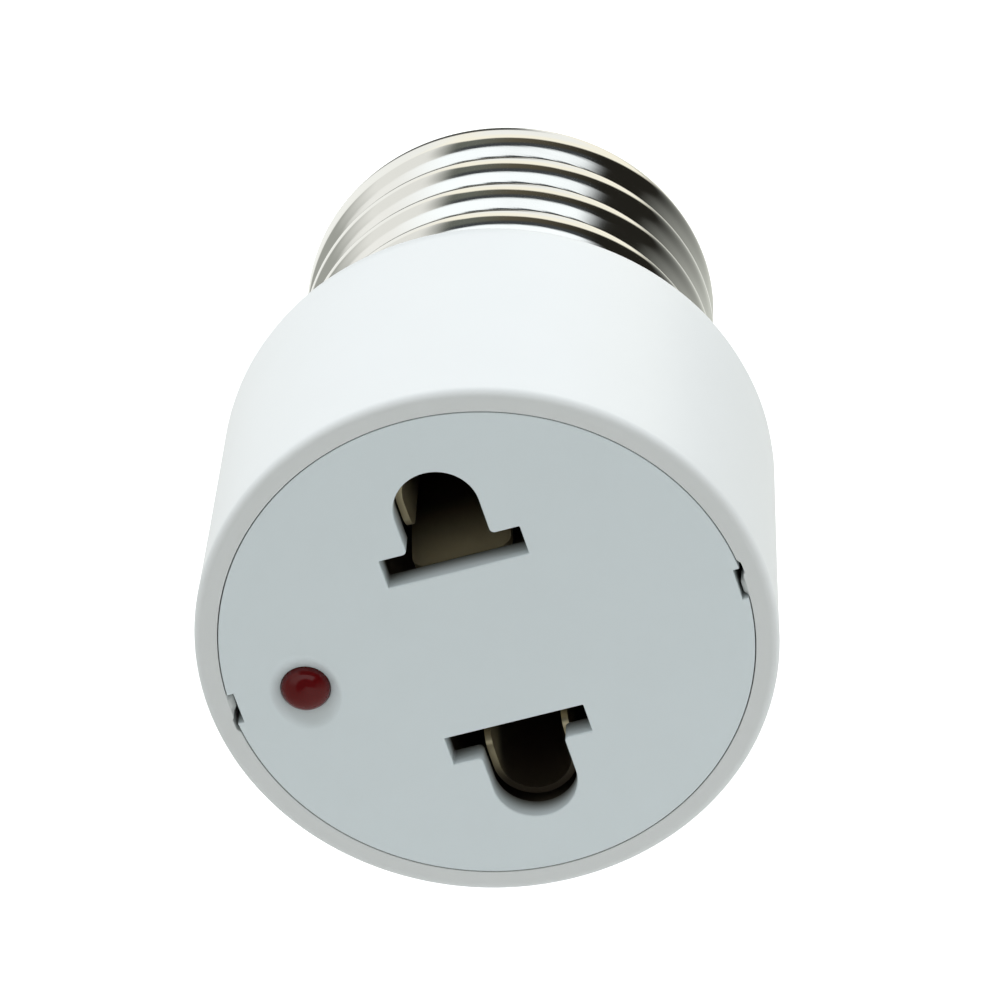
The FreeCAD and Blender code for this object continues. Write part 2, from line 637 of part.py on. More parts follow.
def centre_solder():
    """Solder that fills the hollow shank round the wire's end."""
    inner_end = INSULATOR_INNER_Y - SHANK_FLARE_THICKNESS
    plug = rod(SHANK_BORE_RADIUS, inner_end, CENTRE_SOLDER_END_Y)
    return plug.cut(rod(CORE_RADIUS, inner_end - OVERCUT, CENTRE_SOLDER_END_Y + OVERCUT))


def thread_corners(inset):
    """(radius, height) corners of one groove and the next crest, for the skin inset by the sheet."""
    crest = CREST_RADIUS - inset
    root = ROOT_RADIUS - inset
    slope = math.tan(FLANK_ANGLE)
    flank_x = THREAD_PITCH / 4 - inset * math.sin(FLANK_ANGLE)
    flank_r = (CREST_RADIUS + ROOT_RADIUS) / 2 - inset * math.cos(FLANK_ANGLE)
    crest_x = flank_x + (flank_r - crest) / slope
    root_x = flank_x + (flank_r - root) / slope
    return [
        (crest, crest_x),
        (root, root_x),
        (root, THREAD_PITCH - root_x),
        (crest, THREAD_PITCH - crest_x),
        (crest, THREAD_PITCH + crest_x),
    ]


def thread_turns():
    """Whole turns of groove that leave a plain collar before the curl."""
    room = SHELL_LENGTH - SHELL_CURL - THREAD_START + thread_corners(SHELL_SHEET)[0][1]
    return int(room / THREAD_PITCH) - 1


def helix(radius, start):
    """One right-hand turn of the thread's helix about Z."""
    edge = Part.makeHelix(THREAD_PITCH, THREAD_PITCH, radius).Edges[0]
    edge.translate(Vector(0, 0, start))
    return edge


def ring_edge(radius, z):
    """Full circle about Z: the helix of the same radius with its rise taken out."""
    curve = helix(radius, 0).Curve.toBSpline()
    for number, pole in enumerate(curve.getPoles(), 1):
        curve.setPole(number, Vector(pole.x, pole.y, z))
    return curve.toShape()


def collar(ring, spiral):
    """Plain wall between a full circle and one turn of helix, in two halves."""
    halves = []
    for first, last in ((0.0, 0.5), (0.5, 1.0)):
        sides = []
        for edge in (ring, spiral):
            start, end = edge.ParameterRange
            span = end - start
            sides.append(edge.Curve.toShape(start + first * span, start + last * span))
        halves.append(Part.makeRuledSurface(sides[0], sides[1]))
    return halves


def shell_skin(inset):
    """Faces of one side of the rolled sheet: plain collar, thread, curl and lip."""
    corners = thread_corners(inset)
    crest = CREST_RADIUS - inset
    curl_z = SHELL_LENGTH - SHELL_CURL
    bend = SHELL_CURL - inset
    turns = thread_turns()
    faces = collar(ring_edge(crest, 0), helix(crest, THREAD_START + corners[0][1]))
    for number in range(turns):
        lift = THREAD_START + number * THREAD_PITCH
        used = corners[:4] if number == turns - 1 else corners
        for a, b in zip(used, used[1:]):
            faces.append(Part.makeRuledSurface(helix(a[0], a[1] + lift), helix(b[0], b[1] + lift)))
    thread_end = THREAD_START + turns * THREAD_PITCH
    faces += collar(ring_edge(crest, curl_z), helix(crest, thread_end - corners[0][1]))
    for lift in (THREAD_START, thread_end):
        step = [Vector(r, 0, x + lift) for r, x in corners[:4]]
        step.append(step[0])
        faces.append(Part.Face(Part.makePolygon(step)))
    rings = []
    for count in range(CURL_STEPS + 1):
        angle = math.pi / 2 * count / CURL_STEPS
        rings.append((CREST_RADIUS - SHELL_CURL + bend * math.cos(angle), curl_z + bend * math.sin(angle)))
    for a, b in zip(rings, rings[1:]):
        faces.append(Part.makeRuledSurface(ring_edge(*a), ring_edge(*b)))
    lip = Part.Face(Part.Wire([ring_edge(*rings[-1])]))
    faces.append(lip.cut(Part.Face(Part.Wire([ring_edge(LIP_RADIUS, curl_z + bend)]))).Faces[0])
    return faces


def screw_shell():
    """Rolled sheet shell with its right-hand thread, closed from its two skins and two edges."""
    crest_in = CREST_RADIUS - SHELL_SHEET
    faces = shell_skin(0) + shell_skin(SHELL_SHEET)
    faces.append(Part.makeRuledSurface(ring_edge(CREST_RADIUS, 0), ring_edge(crest_in, 0)))
    faces.append(Part.makeRuledSurface(
        ring_edge(LIP_RADIUS, SHELL_LENGTH), ring_edge(LIP_RADIUS, SHELL_LENGTH - SHELL_SHEET)))
    skin = Part.makeShell(faces)
    skin.sewShape()
    body = Part.Solid(skin)
    if body.Volume < 0:
        body.reverse()
    body.rotate(ORIGIN, Vector(1, 0, 0), -90)
    return body


def cap_insulator():
    """Black moulded cone that closes the shell's end and holds the centre contact."""
    inner_y = INSULATOR_INNER_Y
    lip_y = LIP_INNER_Y
    neck = LIP_RADIUS - INSULATOR_NECK_CLEARANCE
    seat_y = CAP_LENGTH - BUTTON_HEIGHT
    bore = SHANK_RADIUS + SHANK_CLEARANCE
    chamfer = INSULATOR_FLANGE_CHAMFER
    return turned(outline([
        (bore, inner_y),
        (INSULATOR_FLANGE_RADIUS, inner_y),
        (INSULATOR_FLANGE_RADIUS, lip_y - chamfer),
        (INSULATOR_FLANGE_RADIUS - chamfer, lip_y),
        (neck, lip_y),
        (neck, SHELL_LENGTH + INSULATOR_NECK_LENGTH),
        (INSULATOR_SEAT_RADIUS, seat_y),
        (bore, seat_y),
    ]))


def centre_contact():
    """Plated button with a hollow shank that is flared over inside the insulator."""
    inner_y = INSULATOR_INNER_Y
    seat_y = CAP_LENGTH - BUTTON_HEIGHT
    edge_y = seat_y + BUTTON_EDGE
    flare_y = inner_y - SHANK_FLARE_THICKNESS
    rise = CAP_LENGTH - edge_y
    dome_radius = (BUTTON_RADIUS ** 2 + rise ** 2) / (2 * rise)
    dome_angle = math.degrees(math.asin(BUTTON_RADIUS / dome_radius))
    bore_end = edge_y - SHANK_BORE_MARGIN
    return turned(outline(
        [
            (SHANK_BORE_RADIUS, flare_y),
            (SHANK_FLARE_RADIUS, flare_y),
            (SHANK_FLARE_RADIUS, inner_y),
            (SHANK_RADIUS, inner_y),
            (SHANK_RADIUS, seat_y),
            (BUTTON_RADIUS, seat_y),
        ]
        + rounded_corner(0, CAP_LENGTH - dome_radius, dome_radius, 90 - dome_angle, 90, BUTTON_STEPS)
        + [(0, bore_end), (SHANK_BORE_RADIUS, bore_end)]
    ))


def build():
    contact = upper_contact()
    inner_wire = centre_wire()
    outer_wire = shell_wire()
    resistor_lead = rear_lead(1, RESISTOR_START + RESISTOR_LENGTH)
    diode_lead = rear_lead(-1, DIODE_START + DIODE_LENGTH)
    return {
        "housing": housing(),
        "socket_face": socket_face(),
        "upper_contact": contact,
        "lower_contact": opposite(contact),
        "indicator_led": indicator_led(),
        "led_upper_lead": led_lead(1),
        "led_lower_lead": led_lead(-1),
        "upper_lead_sleeve": lead_sleeve(1),
        "lower_lead_sleeve": lead_sleeve(-1),
        "series_resistor": series_resistor(),
        "resistor_front_lead": front_lead(1, RESISTOR_START),
        "resistor_rear_lead": resistor_lead,
        "blocking_diode": blocking_diode(),
        "diode_front_lead": front_lead(-1, DIODE_START),
        "diode_rear_lead": diode_lead,
        "centre_wire": inner_wire,
        "shell_wire": outer_wire,
        "upper_tail_solder": tail_solder(1, resistor_lead, inner_wire),
        "lower_tail_solder": tail_solder(-1, diode_lead, outer_wire),
        "centre_solder": centre_solder(),
        "screw_shell": screw_shell(),
        "cap_insulator": cap_insulator(),
        "centre_contact": centre_contact(),
    }


os.makedirs("parts", exist_ok=True)
for name, shape in build().items():
    print("%-22s solids %d valid %s volume %8.2f mm3" % (
        name, len(shape.Solids), shape.isValid(), shape.Volume))
    shape.exportStep("parts/" + name + ".step")
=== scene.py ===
import json
import math
import bmesh
import bpy
from mathutils import Matrix, Vector
from mathutils.geometry import tessellate_polygon


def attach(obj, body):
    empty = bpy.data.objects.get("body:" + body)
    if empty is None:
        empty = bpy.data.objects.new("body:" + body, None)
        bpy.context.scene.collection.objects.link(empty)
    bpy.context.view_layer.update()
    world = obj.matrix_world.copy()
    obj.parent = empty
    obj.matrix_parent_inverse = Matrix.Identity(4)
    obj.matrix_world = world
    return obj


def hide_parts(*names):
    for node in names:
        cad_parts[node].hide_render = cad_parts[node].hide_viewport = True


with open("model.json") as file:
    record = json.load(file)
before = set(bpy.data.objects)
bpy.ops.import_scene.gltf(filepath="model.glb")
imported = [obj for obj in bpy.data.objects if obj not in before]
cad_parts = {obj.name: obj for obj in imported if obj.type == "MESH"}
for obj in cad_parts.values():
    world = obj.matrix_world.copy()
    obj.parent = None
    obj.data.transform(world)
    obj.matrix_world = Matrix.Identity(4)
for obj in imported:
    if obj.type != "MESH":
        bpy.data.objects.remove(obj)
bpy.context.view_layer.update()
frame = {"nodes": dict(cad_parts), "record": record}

# Lengths of the object are in millimetres, in the row frame: screw axis along Y, outlet
# face towards -Y. MM turns them into Blender's metres.
MM = 0.001
FACE_Y = -23.0

# Housing
HOUSING_FRONT_RADIUS = 17.25
HOUSING_WAIST_RADIUS = 17.13
HOUSING_BACK_RADIUS = 17.0
FRONT_EDGE_ROUND = 0.55
SHOULDER_ROUND = 3.2
BORE_RADIUS = 15.85
BORE_EDGE_ROUND = 0.05
CAVITY_RADIUS = 15.0
LEDGE_Y = -18.8
FLOOR_Y = -2.8
SPIGOT_RADIUS = 11.65
SPIGOT_BORE_RADIUS = 9.5
SPIGOT_LENGTH = 17.4
SPIGOT_EDGE_ROUND = 0.3
KEY_RIB_HEIGHT = 0.3
KEY_RIB_CENTRE = -0.36
KEY_RIB_HALF_WIDTH = 0.62
KEY_RIB_DEPTH = 1.5
KEY_REACH = 3.0
KEY_TOP_Y = -19.0
RIM_FLAT_RADIUS = 16.5
KEYWAY_DEPTH = 0.16
KEYWAY_CENTRE = 1.05
KEYWAY_HALF_WIDTH = 0.48

# Outlet face
FACE_RADIUS = 15.79
PLATE = 1.6
EDGE_ROUND = 0.06
SLOT_EDGE_ROUND = 0.1
SKIRT_INNER_RADIUS = 14.32
SLOT_HALF_LENGTH = 4.3
SLOT_IN_Z = 5.4
SLOT_OUT_Z = 7.3
DOME_RADIUS = 2.55
DOME_CENTRE_Z = 9.65
SLOT_CORNER_ROUND = 0.3
BAR_CORNER_ROUND = 0.08
NOTCH_HALF_WIDTH = 1.03
NOTCH_DEPTH = 0.42
POCKET_HALF_WIDTH = 4.7
POCKET_IN_Z = 4.3
POCKET_OUT_Z = 12.6
POCKET_WALL = 1.0
POCKET_CORNER_ROUND = 0.8
POCKET_BACK_Y = -3.2
# Below this height the lower contact gets painted shade, darker towards the pocket's lower end
LOW_END_Z = -8.7

# Indicator
LED_X = -11.22
LED_RADIUS = 1.5
LED_HOLE_RADIUS = 1.51
LED_DOME_HEIGHT = 1.0
LED_FRONT_Y = -23.45
LED_LENGTH = 5.3
LED_FLANGE_RADIUS = 1.9
LED_FLANGE_LENGTH = 1.0
LED_FLANGE_ROOM = 0.06
DISH_HALF_WIDTH = 2.08
DISH_HALF_HEIGHT = 2.5
DISH_DEPTH = 0.42
# Soft edge of the dish from outside inwards: (growth beyond its size, depth)
DISH_EDGE = (
    (0.1, 0.0), (0.05, 0.004), (0.0, 0.02), (-0.08, 0.06), (-0.2, 0.15), (-0.32, 0.25), (-0.44, 0.34),
)
BOSS_RADIUS = 2.91
BOSS_END_Y = -17.7

# Screw shell
THREAD_PITCH = 3.629
CREST_RADIUS = 13.2
CREST_ROUND = 1.1
ROOT_ROUND = 0.18
FLANK_LENGTH = 0.78
FLANK_ANGLE = math.radians(53)
FIRST_CREST_Y = 0.742
# The groove fades in and out between these turns, counted from the first crest
RUN_IN = (-0.08, 0.22)
RUN_OUT = (3.95, 4.2)
SHELL_SHEET = 0.3
SHELL_CURL = 1.6
SHELL_LENGTH = 20.2
LIP_RADIUS = 9.9
SHELL_SEGMENTS = 300
OUTER_STEP = 0.08
INNER_STEP = 0.4

# Cap insulator
INSULATOR_BORE_RADIUS = 2.1
INSULATOR_RADIUS = 11.6
INSULATOR_FRONT_Y = 17.6
INSULATOR_SHOULDER_Y = 19.85
CONE_START_RADIUS = 9.7
CONE_START_Y = 20.8
CONE_END_RADIUS = 5.4
CONE_END_Y = 24.8

# Centre contact
CAP_LENGTH = 27.0
SHANK_RADIUS = 2.0
SHANK_BORE_RADIUS = 1.3
SHANK_BORE_Y = 25.0
FLARE_RADIUS = 3.0
FLARE_FRONT_Y = 17.2
BUTTON_RADIUS = 4.9
BUTTON_EDGE_Y = 25.45


# Mesh helpers

def make_object(name, verts, faces, material, sharp=35.0):
    """Mesh object from millimetre points, smooth with sharp edges above the angle."""
    mesh = bpy.data.meshes.new(name)
    mesh.from_pydata([(x * MM, y * MM, z * MM) for x, y, z in verts], [], faces)
    work = bmesh.new()
    work.from_mesh(mesh)
    bmesh.ops.remove_doubles(work, verts=work.verts, dist=2e-7)
    bmesh.ops.dissolve_degenerate(work, dist=1e-7, edges=work.edges)
    bmesh.ops.recalc_face_normals(work, faces=work.faces)
    work.to_mesh(mesh)
    work.free()
    mesh.polygons.foreach_set("use_smooth", [True] * len(mesh.polygons))
    mesh.set_sharp_from_angle(angle=math.radians(sharp))
    mesh.materials.append(material)
    obj = bpy.data.objects.new(name, mesh)
    bpy.context.scene.collection.objects.link(obj)
    weighted = obj.modifiers.new("flat_faces_first", "WEIGHTED_NORMAL")
    weighted.keep_sharp = True
    weighted.weight = 60
    return obj


def rounded_outline(corners, step=12.0):
    """Polyline through (a, b, round) corners, each rounded by a tangent arc; closed."""
    points = []
    count = len(corners)
    for i in range(count):
        here = Vector(corners[i][:2])
        radius = corners[i][2]
        back = Vector(corners[i - 1][:2]) - here
        ahead = Vector(corners[(i + 1) % count][:2]) - here
        if radius <= 0:
            points.append((here.x, here.y))
            continue
        back.normalize()
        ahead.normalize()
        half = math.acos(max(-1.0, min(1.0, back.dot(ahead)))) / 2
        if half > math.radians(89.5):
            points.append((here.x, here.y))
            continue
        reach = radius / math.tan(half)
        centre = here + (back + ahead).normalized() * (radius / math.sin(half))
        first = here + back * reach - centre
        last = here + ahead * reach - centre
        sweep = math.pi - 2 * half
        turn = 1 if first.x * last.y - first.y * last.x > 0 else -1
        steps = max(2, math.ceil(math.degrees(sweep) / step))
        for k in range(steps + 1):
            a = turn * sweep * k / steps
            points.append((centre.x + first.x * math.cos(a) - first.y * math.sin(a),
                           centre.y + first.x * math.sin(a) + first.y * math.cos(a)))
    return points


def turned(name, profile, material, segments=256, centre_x=0.0, shape=None, sharp=35.0):
    """Surface of revolution about Y from a closed (radius, y) profile; shape may move a point."""
    verts = []
    faces = []
    for i in range(segments):
        a = 2 * math.pi * i / segments
        for r, y in profile:
            if shape:
                r, y = shape(r, y, a)
            verts.append((centre_x + r * math.cos(a), y, r * math.sin(a)))
    rows = len(profile)
    for i in range(segments):
        j = (i + 1) % segments
        for k in range(rows):
            m = (k + 1) % rows
            if profile[k][0] < 1e-6 and profile[m][0] < 1e-6:
                continue
            faces.append((i * rows + k, i * rows + m, j * rows + m, j * rows + k))
    return make_object(name, verts, faces, material, sharp)


def smoothstep(a, b, x):
    """Smooth rise from 0 at a to 1 at b; a may be the larger, for a fall."""
    t = max(0.0, min(1.0, (x - a) / (b - a)))
    return t * t * (3 - 2 * t)


# Shader helpers

def new_group(name, inputs, outputs):
    """Shader node group with float, colour or vector sockets: (name, kind, default)."""
    kinds = {"value": "NodeSocketFloat", "colour": "NodeSocketColor", "vector": "NodeSocketVector"}
    tree = bpy.data.node_groups.new(name, "ShaderNodeTree")
    for label, kind, default in inputs:
        socket = tree.interface.new_socket(name=label, in_out="INPUT", socket_type=kinds[kind])
        if default is not None:
            socket.default_value = default
    for label, kind in outputs:
        tree.interface.new_socket(name=label, in_out="OUTPUT", socket_type=kinds[kind])
    return tree, tree.nodes.new("NodeGroupInput"), tree.nodes.new("NodeGroupOutput")


def add_node(tree, kind, **settings):
    """New node; settings name its properties, or its inputs as in_<socket name with underscores>."""
    item = tree.nodes.new(kind)
    for key, value in settings.items():
        if key.startswith("in_"):
            item.inputs[key[3:].replace("_", " ")].default_value = value
        else:
            setattr(item, key, value)
    return item


def math_node(tree, operation, first, second=None, clamp=False):
    """Output of a Math node whose inputs are numbers or sockets."""
    item = add_node(tree, "ShaderNodeMath", operation=operation, use_clamp=clamp)
    for index, value in enumerate((first, second)):
        if value is None:
            continue
        if isinstance(value, (int, float)):
            item.inputs[index].default_value = value
        else:
            tree.links.new(value, item.inputs[index])
    return item.outputs[0]


def mix_colour(tree, factor, first, second):
    """Colour output of a Mix node whose inputs are numbers, colours or sockets."""
    item = add_node(tree, "ShaderNodeMix", data_type="RGBA")
    for socket, value in ((item.inputs[0], factor), (item.inputs[6], first), (item.inputs[7], second)):
        if isinstance(value, (int, float, tuple)):
            socket.default_value = value
        else:
            tree.links.new(value, socket)
    return item.outputs[2]


def moulded_surface_group():
    """Slight cloudiness, a recess colour mixed into the recesses by ambient occlusion, and a fine grain of
    moulded plastic. Where the recess colour is darker it is painted shade; on the black plastic it is
    lighter, as dust.
    """
    tree, inputs, outputs = new_group(
        "moulded_surface",
        [("Colour", "colour", (0.8, 0.8, 0.8, 1)), ("Recess Colour", "colour", (0.4, 0.4, 0.4, 1)),
         ("Recess Reach", "value", 0.001), ("Recess Strength", "value", 0.5),
         ("Roughness", "value", 0.4), ("Grain Strength", "value", 0.1)],
        [("Colour", "colour"), ("Roughness", "value"), ("Normal", "vector")],
    )
    place = add_node(tree, "ShaderNodeTexCoord").outputs["Object"]
    cloud = add_node(tree, "ShaderNodeTexNoise", in_Scale=180.0, in_Detail=3.0)
    grain = add_node(tree, "ShaderNodeTexNoise", in_Scale=9000.0, in_Detail=2.0)
    flow = add_node(tree, "ShaderNodeTexNoise", in_Scale=60.0, in_Detail=1.0)
    for texture in (cloud, grain, flow):
        tree.links.new(place, texture.inputs["Vector"])
    # Painted shade in the recesses; dust where the recess colour is lighter than the plastic
    recess = add_node(tree, "ShaderNodeAmbientOcclusion", samples=6)
    tree.links.new(inputs.outputs["Recess Reach"], recess.inputs["Distance"])
    closed = math_node(tree, "SUBTRACT", 1.0, recess.outputs["AO"])
    closed = math_node(tree, "MULTIPLY", closed, inputs.outputs["Recess Strength"], clamp=True)
    tint = math_node(tree, "MULTIPLY", cloud.outputs[0], 0.05)
    shaded = mix_colour(tree, tint, inputs.outputs["Colour"], inputs.outputs["Recess Colour"])
    final = mix_colour(tree, closed, shaded, inputs.outputs["Recess Colour"])
    tree.links.new(final, outputs.inputs["Colour"])
    rough = math_node(tree, "MULTIPLY", math_node(tree, "SUBTRACT", flow.outputs[0], 0.5), 0.16)
    rough = math_node(tree, "ADD", rough, inputs.outputs["Roughness"], clamp=True)
    tree.links.new(rough, outputs.inputs["Roughness"])
    bump = add_node(tree, "ShaderNodeBump", in_Distance=0.00002)
    tree.links.new(inputs.outputs["Grain Strength"], bump.inputs["Strength"])
    tree.links.new(grain.outputs[0], bump.inputs["Height"])
    tree.links.new(bump.outputs["Normal"], outputs.inputs["Normal"])
    return tree


def rolled_metal_group():
    """Tarnish in patches and recesses, and fine drawn lines of plated or stamped sheet."""
    tree, inputs, outputs = new_group(
        "rolled_metal",
        [("Colour", "colour", (0.8, 0.8, 0.8, 1)), ("Tarnish Colour", "colour", (0.4, 0.3, 0.2, 1)),
         ("Tarnish", "value", 0.2), ("Roughness", "value", 0.15), ("Line Strength", "value", 0.05)],
        [("Colour", "colour"), ("Roughness", "value"), ("Normal", "vector")],
    )
    place = add_node(tree, "ShaderNodeTexCoord").outputs["Object"]
    stretch = add_node(tree, "ShaderNodeMapping")
    stretch.inputs["Scale"].default_value = (1.0, 14.0, 1.0)
    tree.links.new(place, stretch.inputs["Vector"])
    patches = add_node(tree, "ShaderNodeTexNoise", in_Scale=220.0, in_Detail=4.0)
    tree.links.new(place, patches.inputs["Vector"])
    lines = add_node(tree, "ShaderNodeTexNoise", in_Scale=260.0, in_Detail=3.0)
    tree.links.new(stretch.outputs[0], lines.inputs["Vector"])
    recess = add_node(tree, "ShaderNodeAmbientOcclusion", samples=6, in_Distance=0.0012)
    closed = math_node(tree, "SUBTRACT", 1.0, recess.outputs["AO"])
    soil = math_node(tree, "MULTIPLY", math_node(tree, "ADD", closed, patches.outputs[0]),
                     inputs.outputs["Tarnish"], clamp=True)
    tree.links.new(mix_colour(tree, soil, inputs.outputs["Colour"], inputs.outputs["Tarnish Colour"]),
                   outputs.inputs["Colour"])
    rough = math_node(tree, "MULTIPLY", patches.outputs[0], 0.12)
    rough = math_node(tree, "ADD", rough, inputs.outputs["Roughness"], clamp=True)
    tree.links.new(rough, outputs.inputs["Roughness"])
    bump = add_node(tree, "ShaderNodeBump", in_Distance=0.00002)
    tree.links.new(inputs.outputs["Line Strength"], bump.inputs["Strength"])
    tree.links.new(lines.outputs[0], bump.inputs["Height"])
    tree.links.new(bump.outputs["Normal"], outputs.inputs["Normal"])
    return tree


def pocket_shade_group():
    """Painted shade: darkens a colour with depth behind the outlet face and towards the lower pocket's end.
    """
    tree, inputs, outputs = new_group(
        "painted_pocket_shade",
        [("Colour", "colour", (0.8, 0.8, 0.8, 1)), ("Deep Colour", "colour", (0.02, 0.02, 0.02, 1)),
         ("Start", "value", 0.001), ("End", "value", 0.004), ("Low End Share", "value", 0.0)],
        [("Colour", "colour")],
    )
    place = add_node(tree, "ShaderNodeTexCoord").outputs["Object"]
    split = tree.nodes.new("ShaderNodeSeparateXYZ")
    tree.links.new(place, split.inputs[0])
    depth = math_node(tree, "SUBTRACT", split.outputs["Y"], FACE_Y * MM)
    below = math_node(tree, "MAXIMUM", math_node(tree, "SUBTRACT", LOW_END_Z * MM, split.outputs["Z"]), 0.0)
    below = math_node(tree, "MULTIPLY", below, inputs.outputs["Low End Share"])
    depth = math_node(tree, "ADD", depth, below)
    ramp = add_node(tree, "ShaderNodeMapRange", interpolation_type="SMOOTHSTEP")
    tree.links.new(depth, ramp.inputs["Value"])
    tree.links.new(inputs.outputs["Start"], ramp.inputs["From Min"])
    tree.links.new(inputs.outputs["End"], ramp.inputs["From Max"])
    shaded = mix_colour(tree, ramp.outputs[0], inputs.outputs["Colour"], inputs.outputs["Deep Colour"])
    tree.links.new(shaded, outputs.inputs["Colour"])
    return tree


MOULDED = moulded_surface_group()
METAL = rolled_metal_group()
POCKET = pocket_shade_group()


def surface(name, group, values, pocket=None, **constants):
    """Material whose Principled shader takes its colour, roughness and normal from a group."""
    material = bpy.data.materials.new(name)
    material.use_nodes = True
    tree = material.node_tree
    shader = tree.nodes["Principled BSDF"]
    detail = tree.nodes.new("ShaderNodeGroup")
    detail.node_tree = group
    for label, value in values.items():
        detail.inputs[label].default_value = value
    colour = detail.outputs["Colour"]
    # Painted shade: the pocket group darkens the colour with depth in the pockets
    if pocket:
        shade = tree.nodes.new("ShaderNodeGroup")
        shade.node_tree = POCKET
        tree.links.new(colour, shade.inputs["Colour"])
        for label, value in pocket.items():
            shade.inputs[label].default_value = value
        colour = shade.outputs["Colour"]
    tree.links.new(colour, shader.inputs["Base Color"])
    tree.links.new(detail.outputs["Roughness"], shader.inputs["Roughness"])
    tree.links.new(detail.outputs["Normal"], shader.inputs["Normal"])
    for label, value in constants.items():
        shader.inputs[label.replace("_", " ")].default_value = value
    return material


# Recess Colour is painted shade in the recesses wherever it is darker than the plastic; on the black
# plastic it is lighter, as dust
housing_plastic = surface(
    "housing_plastic", MOULDED,
    {"Colour": (0.865, 0.872, 0.872, 1), "Recess Colour": (0.42, 0.43, 0.4, 1), "Recess Reach": 0.0006,
     "Recess Strength": 0.5, "Roughness": 0.38, "Grain Strength": 0.06},
    IOR=1.5,
)
face_plastic = surface(
    "face_plastic", MOULDED,
    {"Colour": (0.87, 0.935, 0.965, 1), "Recess Colour": (0.36, 0.37, 0.35, 1), "Recess Reach": 0.001,
     "Recess Strength": 0.25, "Roughness": 0.42, "Grain Strength": 0.1},
    # Painted shade: the slot walls and pockets darken from the face towards the deep colour
    pocket={"Deep Colour": (0.07, 0.055, 0.04, 1), "Start": 0.0002, "End": 0.002},
    IOR=1.5,
)
plated_shell = surface(
    "plated_shell", METAL,
    {"Colour": (0.93, 0.925, 0.91, 1), "Tarnish Colour": (0.3, 0.22, 0.14, 1), "Tarnish": 0.06,
     "Roughness": 0.03, "Line Strength": 0.08},
    Metallic=1.0,
)
contact_brass = surface(
    "contact_brass", METAL,
    {"Colour": (0.72, 0.62, 0.41, 1), "Tarnish Colour": (0.16, 0.13, 0.07, 1), "Tarnish": 0.35,
     "Roughness": 0.32, "Line Strength": 0.12},
    # Painted shade: the contacts darken deeper in the pockets and towards the lower pocket's end
    pocket={"Deep Colour": (0.11, 0.085, 0.06, 1), "Start": 0.0025, "End": 0.0085, "Low End Share": 3.0},
    Metallic=0.6,
)
tinned_wire = surface(
    "tinned_wire", METAL,
    {"Colour": (0.72, 0.73, 0.74, 1), "Tarnish Colour": (0.3, 0.3, 0.3, 1), "Tarnish": 0.3,
     "Roughness": 0.25, "Line Strength": 0.1},
    Metallic=1.0,
)
solder = surface(
    "solder", METAL,
    {"Colour": (0.68, 0.69, 0.7, 1), "Tarnish Colour": (0.35, 0.35, 0.36, 1), "Tarnish": 0.4,
     "Roughness": 0.3, "Line Strength": 0.2},
    Metallic=1.0,
)
black_plastic = surface(
    "black_plastic", MOULDED,
    {"Colour": (0.012, 0.012, 0.013, 1), "Recess Colour": (0.05, 0.048, 0.045, 1), "Recess Reach": 0.001,
     "Recess Strength": 0.5, "Roughness": 0.28, "Grain Strength": 0.15},
    IOR=1.5,
)
red_lens = surface(
    "red_lens", MOULDED,
    {"Colour": (0.125, 0.005, 0.006, 1), "Recess Colour": (0.05, 0.002, 0.002, 1), "Recess Reach": 0.0006,
     "Recess Strength": 0.8, "Roughness": 0.08, "Grain Strength": 0.01},
    IOR=1.5, Specular_IOR_Level=0.28,
)
sleeve_plastic = surface(
    "sleeve_plastic", MOULDED,
    {"Colour": (0.7, 0.68, 0.58, 1), "Recess Colour": (0.3, 0.28, 0.2, 1), "Recess Reach": 0.0005,
     "Recess Strength": 0.4, "Roughness": 0.55, "Grain Strength": 0.1},
)
resistor_coating = surface(
    "resistor_coating", MOULDED,
    {"Colour": (0.57, 0.42, 0.22, 1), "Recess Colour": (0.3, 0.2, 0.1, 1), "Recess Reach": 0.0005,
     "Recess Strength": 0.4, "Roughness": 0.45, "Grain Strength": 0.2},
)
wire_insulation = surface(
    "wire_insulation", MOULDED,
    {"Colour": (0.45, 0.01, 0.008, 1), "Recess Colour": (0.15, 0.005, 0.004, 1), "Recess Reach": 0.0005,
     "Recess Strength": 0.4, "Roughness": 0.5, "Grain Strength": 0.1},
)


# Housing

def opposite_pair(angle):
    """Height z across the nearer end of the X axis, the far end counted half a turn round."""
    side = 1 if math.cos(angle) >= 0 else -1
    return side * math.sin(angle) * BORE_RADIUS


def housing_shape(r, y, angle):
    """Keyways and detent ribs in the housing's mouth."""
    if y > KEY_TOP_Y or r > RIM_FLAT_RADIUS:
        return r, y
    z = opposite_pair(angle)
    if abs(z) > KEY_REACH:
        return r, y
    near = smoothstep(RIM_FLAT_RADIUS, BORE_RADIUS + 0.15, r)
    depth = smoothstep(-19.2, -19.6, y)
    recess = KEYWAY_DEPTH * (1 - smoothstep(KEYWAY_HALF_WIDTH - 0.12, KEYWAY_HALF_WIDTH + 0.08,
                                            abs(z - KEYWAY_CENTRE)))
    rib = KEY_RIB_HEIGHT * (1 - smoothstep(KEY_RIB_HALF_WIDTH - 0.3, KEY_RIB_HALF_WIDTH + 0.2,
                                           abs(z - KEY_RIB_CENTRE)))
    below = smoothstep(FACE_Y + 0.05, FACE_Y + 0.25, y) * (1 - smoothstep(
        FACE_Y + KEY_RIB_DEPTH - 0.1, FACE_Y + KEY_RIB_DEPTH, y))
    return r + recess * near * depth - rib * below * near, y


